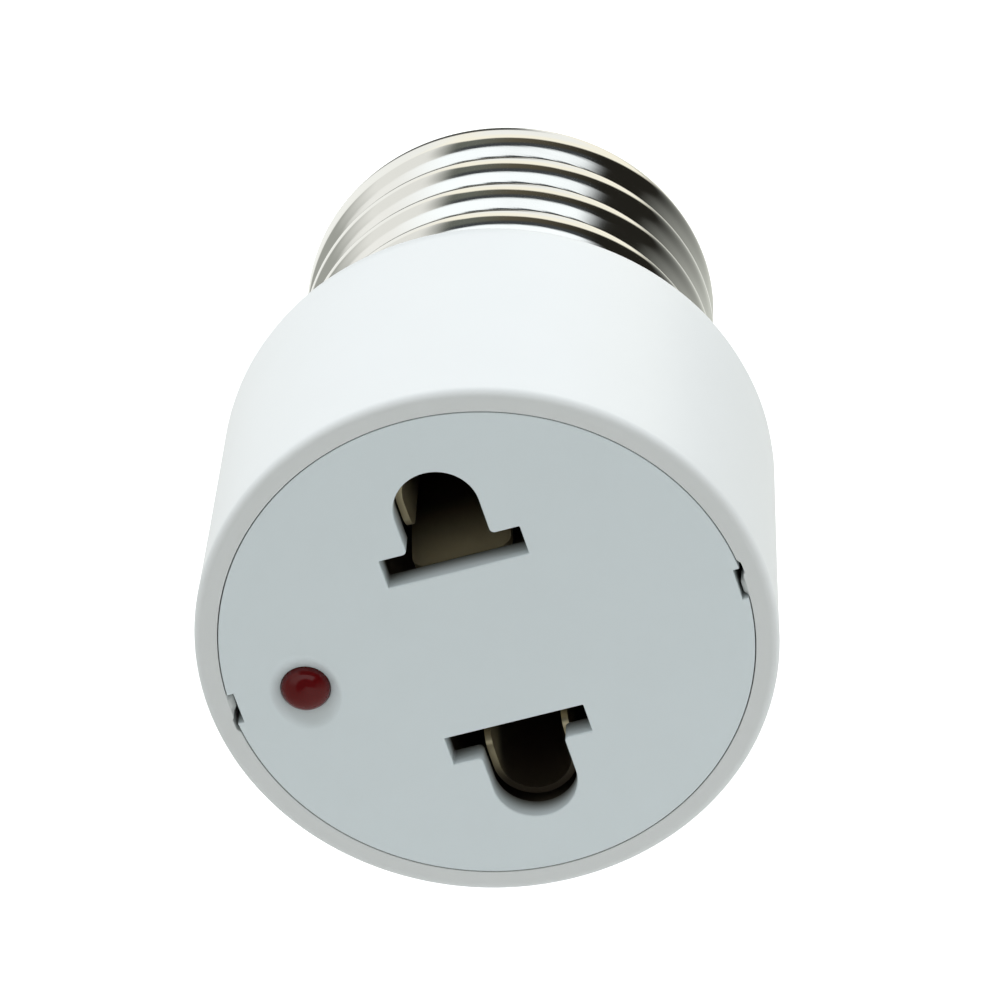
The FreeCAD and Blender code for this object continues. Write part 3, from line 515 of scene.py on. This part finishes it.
bore_rows = [(BORE_RADIUS, y, 0) for y in (-19.2, -19.7, -20.5, -21.3, -21.7, -22.2, -22.6)]
ring_rows = [(r, FACE_Y, 0) for r in (16.02, 16.15, 16.35, RIM_FLAT_RADIUS)]
housing_corners = [
    (BORE_RADIUS, LEDGE_Y, 0.0),
    *bore_rows,
    (BORE_RADIUS, FACE_Y, BORE_EDGE_ROUND),
    *ring_rows,
    (HOUSING_FRONT_RADIUS, FACE_Y, FRONT_EDGE_ROUND),
    (HOUSING_FRONT_RADIUS - 0.03, FACE_Y + 1.5, 0),
    (HOUSING_WAIST_RADIUS, FACE_Y + 8, 0),
    (HOUSING_BACK_RADIUS + 0.04, -6.0, 0),
    (HOUSING_BACK_RADIUS, 0.0, SHOULDER_ROUND),
    (SPIGOT_RADIUS, 0.0, 0.1),
    (SPIGOT_RADIUS, SPIGOT_LENGTH, SPIGOT_EDGE_ROUND),
    (SPIGOT_BORE_RADIUS, SPIGOT_LENGTH, SPIGOT_EDGE_ROUND),
    (SPIGOT_BORE_RADIUS, FLOOR_Y, 0.2),
    (CAVITY_RADIUS, FLOOR_Y, 0.4),
    (CAVITY_RADIUS, LEDGE_Y, 0.1),
]
housing = turned("housing_shell", rounded_outline(housing_corners, 9.0), housing_plastic,
                 segments=720, shape=housing_shape)


# Outlet face

def slot_outline(side):
    """Upper slot (side 1) or lower slot (side -1) as a closed (x, z) loop."""
    nearly_dome = DOME_RADIUS - 0.001
    corners = [
        (-SLOT_HALF_LENGTH, SLOT_IN_Z, BAR_CORNER_ROUND),
        (SLOT_HALF_LENGTH, SLOT_IN_Z, BAR_CORNER_ROUND),
        (SLOT_HALF_LENGTH, SLOT_OUT_Z, BAR_CORNER_ROUND),
        (DOME_RADIUS, SLOT_OUT_Z, SLOT_CORNER_ROUND),
        (DOME_RADIUS, DOME_CENTRE_Z + DOME_RADIUS, nearly_dome),
        (-DOME_RADIUS, DOME_CENTRE_Z + DOME_RADIUS, nearly_dome),
        (-DOME_RADIUS, SLOT_OUT_Z, SLOT_CORNER_ROUND),
        (-SLOT_HALF_LENGTH, SLOT_OUT_Z, BAR_CORNER_ROUND),
    ]
    return [(side * x, side * z) for x, z in rounded_outline(corners, 6.0)]


def disc_outline():
    """Disc edge with its two notches at the ends of the X axis."""
    inner = FACE_RADIUS - NOTCH_DEPTH
    half = math.asin(NOTCH_HALF_WIDTH / FACE_RADIUS)
    points = []
    for side in (0, math.pi):
        corner = [(inner, -NOTCH_HALF_WIDTH), (inner, NOTCH_HALF_WIDTH)]
        points += [(x * math.cos(side), z * math.cos(side)) for x, z in corner]
        steps = 120
        for k in range(steps + 1):
            a = side + half + (math.pi - 2 * half) * k / steps
            points.append((FACE_RADIUS * math.cos(a), FACE_RADIUS * math.sin(a)))
    return points


def circle_outline(radius, x=0.0, steps=96):
    """Circle as an (x, z) loop, its centre on the X axis."""
    angles = [2 * math.pi * k / steps for k in range(steps)]
    return [(x + radius * math.cos(a), radius * math.sin(a)) for a in angles]


def dish_outline(grow):
    """Oval loop of the dish round the indicator, which becomes a circle at the hole."""
    across = DISH_HALF_WIDTH + grow
    share = (across - LED_HOLE_RADIUS) / (DISH_HALF_WIDTH - LED_HOLE_RADIUS)
    up = across + (DISH_HALF_HEIGHT - DISH_HALF_WIDTH) * share
    return [(LED_X + across * x, up * z) for x, z in circle_outline(1.0)]


def block_outline(x0, x1, z0, z1, round_radius):
    """Rectangle with rounded corners as an (x, z) loop."""
    corners = [(x0, z0), (x1, z0), (x1, z1), (x0, z1)]
    return rounded_outline([(x, z, round_radius) for x, z in corners], 10.0)


def offset_outline(loop, distance):
    """Loop moved sideways to its right by the distance, mitred at its corners."""
    moved = []
    count = len(loop)
    for i in range(count):
        before = Vector(loop[i]) - Vector(loop[i - 1])
        after = Vector(loop[(i + 1) % count]) - Vector(loop[i])
        n1 = Vector((before.y, -before.x)).normalized()
        n2 = Vector((after.y, -after.x)).normalized()
        n = (n1 + n2).normalized()
        scale = distance / max(0.4, n.dot(n1))
        moved.append((loop[i][0] + n.x * scale, loop[i][1] + n.y * scale))
    return moved


def area(loop):
    """Signed area of a loop, positive when it runs from x towards z."""
    return sum(a[0] * b[1] - b[0] * a[1] for a, b in zip(loop, loop[1:] + loop[:1])) / 2


def clean_loop(loop, least=0.004):
    """Loop without near-repeated points."""
    kept = []
    for p in loop:
        if not kept or math.dist(p, kept[-1]) > least:
            kept.append(p)
    if math.dist(kept[0], kept[-1]) < least:
        kept.pop()
    return kept


class Sheet:
    """Collects the faces of one moulded piece: flat regions, walls and rounded rims."""

    def __init__(self):
        self.verts = []
        self.faces = []

    def rows(self, rows):
        """Quads between equal closed loops, each a list of (x, y, z)."""
        start = len(self.verts)
        size = len(rows[0])
        for row in rows:
            self.verts += row
        for k in range(len(rows) - 1):
            for i in range(size):
                j = (i + 1) % size
                a = start + k * size
                self.faces.append((a + i, a + j, a + size + j, a + size + i))

    def flat(self, outer, holes, y):
        """Flat region at height y, inside the outer loop and outside the holes."""
        loops = [[Vector((x, z, 0)) for x, z in loop] for loop in [outer] + holes]
        start = len(self.verts)
        self.verts += [(p.x, y, p.y) for loop in loops for p in loop]
        self.faces += [tuple(start + i for i in face) for face in tessellate_polygon(loops)]

    def rim(self, loop, front, back, round_radius, outward, margin=0.06):
        """Rounded front edge and the wall behind it. Returns the loop where the flat front starts."""
        sign = 1 if (area(loop) > 0) == outward else -1
        rows = []
        for inset, drop in [(round_radius + margin, 0.0)] + [
            (round_radius * (1 - math.sin(a)), round_radius * (1 - math.cos(a)))
            for a in [math.pi / 2 * k / 6 for k in range(7)]
        ]:
            moved = offset_outline(loop, -sign * inset)
            rows.append([(x, front + drop, z) for x, z in moved])
        rows.append([(x, back, z) for x, z in loop])
        self.rows(rows)
        return [(x, z) for x, _, z in rows[0]]


def build_socket_face():
    """Slotted disc with its rims and dish, the skirt behind it, the pockets and the boss."""
    sheet = Sheet()
    back = FACE_Y + PLATE
    disc = clean_loop(disc_outline())
    slots = [clean_loop(slot_outline(1)), clean_loop(slot_outline(-1))]
    outer_front = sheet.rim(disc, FACE_Y, LEDGE_Y, EDGE_ROUND, True)
    holes = [sheet.rim(slot, FACE_Y, back, SLOT_EDGE_ROUND, False) for slot in slots]
    dish_rows = []
    for grow, drop in (*DISH_EDGE, (LED_HOLE_RADIUS - DISH_HALF_WIDTH, DISH_DEPTH)):
        dish_rows.append([(x, FACE_Y + drop, z) for x, z in dish_outline(grow)])
    seat = LED_FRONT_Y + LED_LENGTH - LED_FLANGE_LENGTH
    seat_radius = LED_FLANGE_RADIUS + LED_FLANGE_ROOM
    hole_rows = [[(x, y, z) for x, z in circle_outline(r, LED_X)] for r, y in (
        (LED_HOLE_RADIUS, seat), (seat_radius, seat), (seat_radius, BOSS_END_Y),
        (BOSS_RADIUS, BOSS_END_Y), (BOSS_RADIUS, back))]
    sheet.rows(dish_rows + hole_rows)
    sheet.flat(outer_front, holes + [dish_outline(DISH_EDGE[0][0])], FACE_Y)

    skirt = circle_outline(SKIRT_INNER_RADIUS, steps=240)
    sheet.rows([[(x, LEDGE_Y, z) for x, z in skirt], [(x, back, z) for x, z in skirt]])
    sheet.flat(disc, [skirt], LEDGE_Y)
    w = POCKET_WALL
    outers = []
    for side in (1, -1):
        low, high = sorted((side * POCKET_IN_Z, side * POCKET_OUT_Z))
        inner = block_outline(-POCKET_HALF_WIDTH, POCKET_HALF_WIDTH, low, high, POCKET_CORNER_ROUND)
        outer = block_outline(-POCKET_HALF_WIDTH - w, POCKET_HALF_WIDTH + w, low - w, high + w,
                              POCKET_CORNER_ROUND + w)
        outers.append(outer)
        sheet.rows([[(x, back, z) for x, z in inner], [(x, POCKET_BACK_Y, z) for x, z in inner]])
        sheet.rows([[(x, back, z) for x, z in outer], [(x, POCKET_BACK_Y, z) for x, z in outer]])
        sheet.flat(outer, [inner], POCKET_BACK_Y)
        sheet.flat(inner, [slots[0] if side == 1 else slots[1]], back)
    sheet.flat(skirt, outers + [circle_outline(BOSS_RADIUS, LED_X)], back)
    return make_object("outlet_face", sheet.verts, sheet.faces, face_plastic, 32.0)


socket_face = build_socket_face()


# Indicator

def build_indicator():
    """Lamp body with a flattened dome in front and a flange behind."""
    base = LED_FRONT_Y + LED_DOME_HEIGHT
    end = LED_FRONT_Y + LED_LENGTH
    profile = []
    for k in range(19):
        a = math.pi / 2 * k / 18
        profile.append((LED_RADIUS * math.sin(a), base - LED_DOME_HEIGHT * math.cos(a)))
    profile += [(LED_RADIUS, end - LED_FLANGE_LENGTH), (LED_FLANGE_RADIUS, end - LED_FLANGE_LENGTH),
                (LED_FLANGE_RADIUS, end), (0.0, end)]
    return turned("indicator_dome", profile, red_lens, segments=96, centre_x=LED_X)


indicator = build_indicator()


# Screw shell

def thread_drop(x):
    """Depth below the crest at a distance along the axis: round crest, straight flank, small root."""
    crest_end = CREST_ROUND * math.sin(FLANK_ANGLE)
    flank_end = crest_end + FLANK_LENGTH * math.cos(FLANK_ANGLE)
    root_start = flank_end + ROOT_ROUND * math.sin(FLANK_ANGLE)
    top = CREST_ROUND * (1 - math.cos(FLANK_ANGLE))
    depth = top + FLANK_LENGTH * math.sin(FLANK_ANGLE) + ROOT_ROUND * (1 - math.cos(FLANK_ANGLE))
    if x < crest_end:
        return CREST_ROUND - math.sqrt(CREST_ROUND ** 2 - x ** 2)
    if x < flank_end:
        return top + (x - crest_end) * math.tan(FLANK_ANGLE)
    rest = max(0.0, root_start - x)
    return depth - ROOT_ROUND + math.sqrt(ROOT_ROUND ** 2 - rest ** 2)


def thread_radius(y, angle):
    """Outer radius of the rolled sheet at a height and angle."""
    turn = (-angle / (2 * math.pi)) % 1.0
    height = (y - FIRST_CREST_Y) / THREAD_PITCH - turn
    groove = math.floor(height)
    x = (height - groove) * THREAD_PITCH
    drop = thread_drop(min(x, THREAD_PITCH - x))
    along = groove + turn
    fade = smoothstep(RUN_IN[0], RUN_IN[1], along) * (1 - smoothstep(RUN_OUT[0], RUN_OUT[1], along))
    return CREST_RADIUS - drop * fade


def shell_rows(inset, step):
    """(radius, y) rows of one skin from rim to lip, the radius None where the thread sets it."""
    curl_y = SHELL_LENGTH - SHELL_CURL
    bend = SHELL_CURL - inset
    rows = []
    count = round(curl_y / step)
    for k in range(count + 1):
        rows.append((None, curl_y * k / count))
    for k in range(1, 9):
        a = math.pi / 2 * k / 8
        rows.append((CREST_RADIUS - SHELL_CURL + bend * math.cos(a), curl_y + bend * math.sin(a)))
    rows.append((LIP_RADIUS, SHELL_LENGTH - inset))
    return rows


def build_screw_shell():
    """Rolled sheet with the thread on both sides, curled in at its end."""
    verts = []
    faces = []
    outer = shell_rows(0.0, OUTER_STEP)
    inner = shell_rows(SHELL_SHEET, INNER_STEP)
    rows = outer + list(reversed(inner))
    for i in range(SHELL_SEGMENTS):
        a = 2 * math.pi * i / SHELL_SEGMENTS
        for k, (r, y) in enumerate(rows):
            if r is None:
                r = thread_radius(y, a)
                if k >= len(outer):
                    r -= SHELL_SHEET
            verts.append((r * math.cos(a), y, r * math.sin(a)))
    size = len(rows)
    for i in range(SHELL_SEGMENTS):
        j = (i + 1) % SHELL_SEGMENTS
        for k in range(size):
            m = (k + 1) % size
            faces.append((i * size + k, i * size + m, j * size + m, j * size + k))
    return make_object("threaded_shell", verts, faces, plated_shell, 50.0)


shell = build_screw_shell()


# Cap insulator

insulator = turned("insulator_cone", rounded_outline([
    (INSULATOR_BORE_RADIUS, INSULATOR_FRONT_Y, 0.1),
    (INSULATOR_RADIUS, INSULATOR_FRONT_Y, 0.1),
    (INSULATOR_RADIUS, INSULATOR_SHOULDER_Y, 0.9),
    (CONE_START_RADIUS, INSULATOR_SHOULDER_Y, 0.05),
    (CONE_START_RADIUS, CONE_START_Y, 0.25),
    (CONE_END_RADIUS, CONE_END_Y, 0.2),
    (INSULATOR_BORE_RADIUS, CONE_END_Y, 0.05),
]), black_plastic, segments=192)


# Centre contact

def button_outline():
    """Hollow shank with its flare, and the domed button behind the insulator."""
    outline = [
        (SHANK_BORE_RADIUS, FLARE_FRONT_Y),
        (FLARE_RADIUS, FLARE_FRONT_Y),
        (FLARE_RADIUS, INSULATOR_FRONT_Y),
        (SHANK_RADIUS, INSULATOR_FRONT_Y),
        (SHANK_RADIUS, CONE_END_Y),
        (BUTTON_RADIUS - 0.15, CONE_END_Y),
        (BUTTON_RADIUS - 0.04, CONE_END_Y + 0.05),
        (BUTTON_RADIUS, CONE_END_Y + 0.16),
        (BUTTON_RADIUS, BUTTON_EDGE_Y),
    ]
    for k in range(1, 16):
        a = math.pi / 2 * k / 16
        outline.append((BUTTON_RADIUS * math.cos(a),
                        BUTTON_EDGE_Y + (CAP_LENGTH - BUTTON_EDGE_Y) * math.sin(a)))
    return outline + [(0.0, CAP_LENGTH), (0.0, SHANK_BORE_Y), (SHANK_BORE_RADIUS, SHANK_BORE_Y)]


button = turned("contact_button", button_outline(), plated_shell, segments=128)

pieces = {
    housing: ("housing", "housing_plastic"),
    socket_face: ("socket_face", "face_plastic"),
    indicator: ("indicator_led", "red_lens"),
    shell: ("screw_shell", "plated_shell"),
    insulator: ("cap_insulator", "black_plastic"),
    button: ("centre_contact", "plated_shell"),
}
for piece, (node, slot) in pieces.items():
    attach(piece, "root")
    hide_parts(node)

# The solids that keep their own meshes get their finishes
finishes = {
    "contact_brass": contact_brass,
    "tinned_wire": tinned_wire,
    "sleeve_plastic": sleeve_plastic,
    "resistor_coating": resistor_coating,
    "black_plastic": black_plastic,
    "wire_insulation": wire_insulation,
    "solder": solder,
}
for entry in frame["record"]["subparts"]:
    finish = finishes.get(entry["material_slot"])
    node = frame["nodes"][entry["node"]]
    if finish:
        for holder in node.material_slots:
            holder.material = finish


# Stage: pale floor, white surroundings, and a tent of painted reflections, a glow seen only in gloss,
# for the metal to mirror. Its lengths are in metres. WALLS gives the tent's colour by the angle round the
# screw axis in degrees,
# GAP_EDGE the lean towards the cap at which the dark gap ends, FRONT_EDGE the lean at which
# the front panel starts.

FLOOR_Z = -0.07
FLOOR_SIDE = 6.0
FLOOR_GLOW = 0.66
TENT_CENTRE = (0.0, 0.01, 0.0)
TENT_RADIUS = 0.6
WORLD_LIGHT = 0.425
WORLD_TINT = (0.965, 1.0, 0.95)
COOL_FRONT = (1.08, 1.14, 1.16)
PALE_FRONT = (0.93, 0.935, 0.9)
GREY_BEHIND = (0.05, 0.05, 0.045)
WARM_BACK = (1.0, 0.965, 0.82)
PALE_BACK = (0.93, 0.94, 0.9)
GAP_FRONT = (0.05, 0.056, 0.06)
PALE_GROUND = (0.6, 0.62, 0.57)
GREY_CORNER = (0.36, 0.37, 0.34)
LEFT_WALL = (0.81, 0.815, 0.775)
GREY_GAP = (0.13, 0.14, 0.12)
BROWN_GAP = (0.1, 0.088, 0.06)
BLACK_GAP = (0.016, 0.015, 0.012)
WALLS = (
    (-180, PALE_GROUND), (-120, GREY_CORNER), (-65, GREY_CORNER), (-42, LEFT_WALL), (-17, LEFT_WALL),
    (-5, GREY_GAP), (3, GREY_GAP), (20, BROWN_GAP), (58, BLACK_GAP), (84, BLACK_GAP),
    (114, GREY_CORNER), (130, PALE_GROUND), (180, PALE_GROUND),
)
GAP_EDGE = (
    (-180, (0.6,)), (-12, (0.58,)), (-5, (0.45,)), (0, (0.36,)), (20, (0.26,)), (40, (0.26,)),
    (50, (0.35,)), (60, (0.47,)), (80, (0.72,)), (90, (0.82,)), (105, (0.95,)), (140, (0.95,)),
    (180, (0.6,)),
)
FRONT_EDGE = ((-60, (-0.45,)), (-32, (-0.56,)), (0, (-0.61,)), (22, (-0.635,)), (60, (-0.6,)))


def stage_floor(name, z, side, material):
    """Level square round the object's middle."""
    half = side / 2
    mesh = bpy.data.meshes.new(name)
    mesh.from_pydata([(-half, -half, z), (half, -half, z), (half, half, z), (-half, half, z)],
                     [], [(0, 1, 2, 3)])
    mesh.materials.append(material)
    obj = bpy.data.objects.new(name, mesh)
    bpy.context.scene.collection.objects.link(obj)
    obj.visible_glossy = False
    return obj


def floor_material():
    """Pale floor that looks white and still takes the object's shadow."""
    material = bpy.data.materials.new("pale_floor")
    material.use_nodes = True
    tree = material.node_tree
    tree.nodes.remove(tree.nodes["Principled BSDF"])
    output = tree.nodes["Material Output"]
    place = add_node(tree, "ShaderNodeTexCoord").outputs["Object"]
    speck = add_node(tree, "ShaderNodeTexNoise", in_Scale=40.0, in_Detail=2.0)
    tree.links.new(place, speck.inputs["Vector"])
    tone = mix_colour(tree, speck.outputs[0], (0.93, 0.93, 0.93, 1), (0.97, 0.97, 0.97, 1))
    diffuse = add_node(tree, "ShaderNodeBsdfDiffuse")
    tree.links.new(tone, diffuse.inputs["Color"])
    glow = add_node(tree, "ShaderNodeEmission")
    path = add_node(tree, "ShaderNodeLightPath")
    strength = math_node(tree, "MULTIPLY", path.outputs["Is Camera Ray"], FLOOR_GLOW)
    tree.links.new(strength, glow.inputs["Strength"])
    both = add_node(tree, "ShaderNodeAddShader")
    tree.links.new(diffuse.outputs[0], both.inputs[0])
    tree.links.new(glow.outputs[0], both.inputs[1])
    tree.links.new(both.outputs[0], output.inputs["Surface"])
    return material


def tent_material():
    """Painted reflection: the tent's painted brightness, a glow seen only in gloss that lights nothing."""
    material = bpy.data.materials.new("painted_reflection_tent")
    material.use_nodes = True
    tree = material.node_tree
    tree.nodes.remove(tree.nodes["Principled BSDF"])
    paint = add_node(tree, "ShaderNodeAttribute", attribute_name="cloth")
    light = add_node(tree, "ShaderNodeEmission")
    tree.links.new(paint.outputs["Color"], light.inputs["Color"])
    tree.links.new(light.outputs[0], tree.nodes["Material Output"].inputs["Surface"])
    material.cycles.emission_sampling = "NONE"
    return material


def blend(first, second, share):
    """Values part of the way from the first list to the second."""
    return [a + (b - a) * share for a, b in zip(first, second)]


def between(stops, x):
    """Values of the (place, values) stops at a place, straight between them."""
    for (a, first), (b, second) in zip(stops, stops[1:]):
        if x <= b:
            return blend(first, second, max(0.0, (x - a) / (b - a)))
    return list(stops[-1][1])


def tent_colour(turn, lean):
    """Colour of the tent by the angle round the screw axis, in degrees from the top towards
    +X, and the lean towards the cap, which is the Y share of the direction."""
    edge = between(GAP_EDGE, turn)[0]
    colour = between(WALLS, turn)
    colour = blend(colour, GAP_FRONT, (1 - smoothstep(-0.5, -0.2, lean)) * smoothstep(-12, 0, turn)
                   * (1 - smoothstep(50, 62, turn)))
    above = blend(WARM_BACK, PALE_BACK, smoothstep(0.25, 0.6, lean - edge))
    above = blend(PALE_BACK, above, smoothstep(-40, 0, turn) * (1 - smoothstep(120, 165, turn)))
    colour = blend(colour, above, smoothstep(-0.09, 0.07, lean - edge))
    turned_in = between(FRONT_EDGE, turn)[0]
    front = (1 - smoothstep(turned_in - 0.03, turned_in + 0.03, lean)) * (1 - smoothstep(54, 68, turn))
    ahead = blend(PALE_FRONT, COOL_FRONT, smoothstep(-40, -5, turn))
    colour = blend(colour, ahead, front * smoothstep(-85, -45, turn))
    behind = smoothstep(-130, -90, turn) * (1 - smoothstep(5, 50, turn))
    colour = blend(colour, GREY_BEHIND, smoothstep(0.91, 0.955, lean) * behind)
    dim_front = (1 - smoothstep(-0.9, -0.82, lean)) * (1 - smoothstep(100, 130, abs(turn)))
    return blend(colour, GAP_FRONT, dim_front)


def reflection_tent(name, centre, radius):
    """Ball round the object, seen only in gloss, its panels painted as the reflections that the plating
    shows.
    """
    leans = [-1 + 2 * k / 120 for k in range(121)]
    turns = [-180 + 360 * k / 180 for k in range(181)]
    verts = []
    paints = []
    for lean in leans:
        across = math.sqrt(max(0.0, 1 - lean * lean))
        for turn in turns:
            a = math.radians(turn)
            verts.append((centre[0] + radius * across * math.sin(a), centre[1] + radius * lean,
                          centre[2] + radius * across * math.cos(a)))
            paints += [*tent_colour(turn, lean), 1.0]
    row = len(turns)
    faces = [(i * row + k, i * row + k + 1, (i + 1) * row + k + 1, (i + 1) * row + k)
             for i in range(len(leans) - 1) for k in range(row - 1)]
    mesh = bpy.data.meshes.new(name)
    mesh.from_pydata(verts, [], faces)
    layer = mesh.attributes.new("cloth", "FLOAT_COLOR", "POINT")
    layer.data.foreach_set("color", paints)
    mesh.materials.append(tent_material())
    obj = bpy.data.objects.new(name, mesh)
    bpy.context.scene.collection.objects.link(obj)
    obj.visible_camera = False
    obj.visible_diffuse = False
    obj.visible_shadow = False
    obj.visible_transmission = False
    return obj


stage_floor("floor", FLOOR_Z, FLOOR_SIDE, floor_material())
# Painted reflections: this glowing ball is seen only in gloss
reflection_tent("reflection_tent", TENT_CENTRE, TENT_RADIUS)


def area_light(name, position, side, radiance, colour):
    """Square lamp aimed at the object, its brightness given per area and solid angle."""
    data = bpy.data.lights.new(name, "AREA")
    data.shape = "RECTANGLE"
    data.size = side
    data.size_y = side
    data.energy = radiance * math.pi * side * side
    data.color = colour
    obj = bpy.data.objects.new(name, data)
    obj.location = position
    obj.rotation_euler = (-Vector(position)).to_track_quat("-Z", "Y").to_euler()
    obj.visible_glossy = False
    bpy.context.scene.collection.objects.link(obj)


# Name, position, side, radiance and colour of each lamp
softboxes = (
    ("top_softbox", (0.02, 0.06, 0.42), 0.4, 2.55, (0.88, 0.93, 1.0)),
    ("left_softbox", (-0.36, 0.1, 0.2), 0.3, 1.15, (0.93, 0.97, 1.0)),
    ("right_softbox", (0.4, 0.1, 0.08), 0.3, 1.8, (0.93, 0.97, 1.0)),
)
for softbox in softboxes:
    area_light(*softbox)


# White surroundings: full white to the camera and in reflections, WORLD_LIGHT on surfaces

world = bpy.data.worlds.new("white_surroundings")
world.use_nodes = True
bpy.context.scene.world = world
tree = world.node_tree
back = tree.nodes["Background"]
path = add_node(tree, "ShaderNodeLightPath")
seen = math_node(tree, "MAXIMUM", path.outputs["Is Camera Ray"], path.outputs["Is Glossy Ray"])
seen = math_node(tree, "MAXIMUM", seen, path.outputs["Is Transmission Ray"])
strength = math_node(tree, "ADD", math_node(tree, "MULTIPLY", seen, 1.0 - WORLD_LIGHT), WORLD_LIGHT)
tree.links.new(strength, back.inputs["Strength"])
tree.links.new(mix_colour(tree, seen, (*WORLD_TINT, 1), (1.0, 1.0, 1.0, 1)), back.inputs["Color"])


# Camera, fitted to the photograph

CAMERA_LENS = 210.38
CAMERA_PLACE = (0.06428, -0.31589, 0.16815)
CAMERA_RIGHT = (0.954161, 0.035967, -0.297126)
CAMERA_AHEAD = (-0.178687, 0.864865, -0.469125)

camera_data = bpy.data.cameras.new("camera")
camera_data.sensor_width = 36.0
camera_data.lens = CAMERA_LENS
camera_data.clip_start = 0.02
camera_data.clip_end = 20.0
camera = bpy.data.objects.new("camera", camera_data)
bpy.context.scene.collection.objects.link(camera)
right = Vector(CAMERA_RIGHT).normalized()
ahead = Vector(CAMERA_AHEAD).normalized()
up = right.cross(ahead).normalized()
camera.matrix_world = Matrix.Translation(CAMERA_PLACE) @ Matrix((
    (right.x, up.x, -ahead.x, 0), (right.y, up.y, -ahead.y, 0), (right.z, up.z, -ahead.z, 0), (0, 0, 0, 1)))
bpy.context.scene.camera = camera

bpy.context.scene.view_settings.view_transform = "Standard"
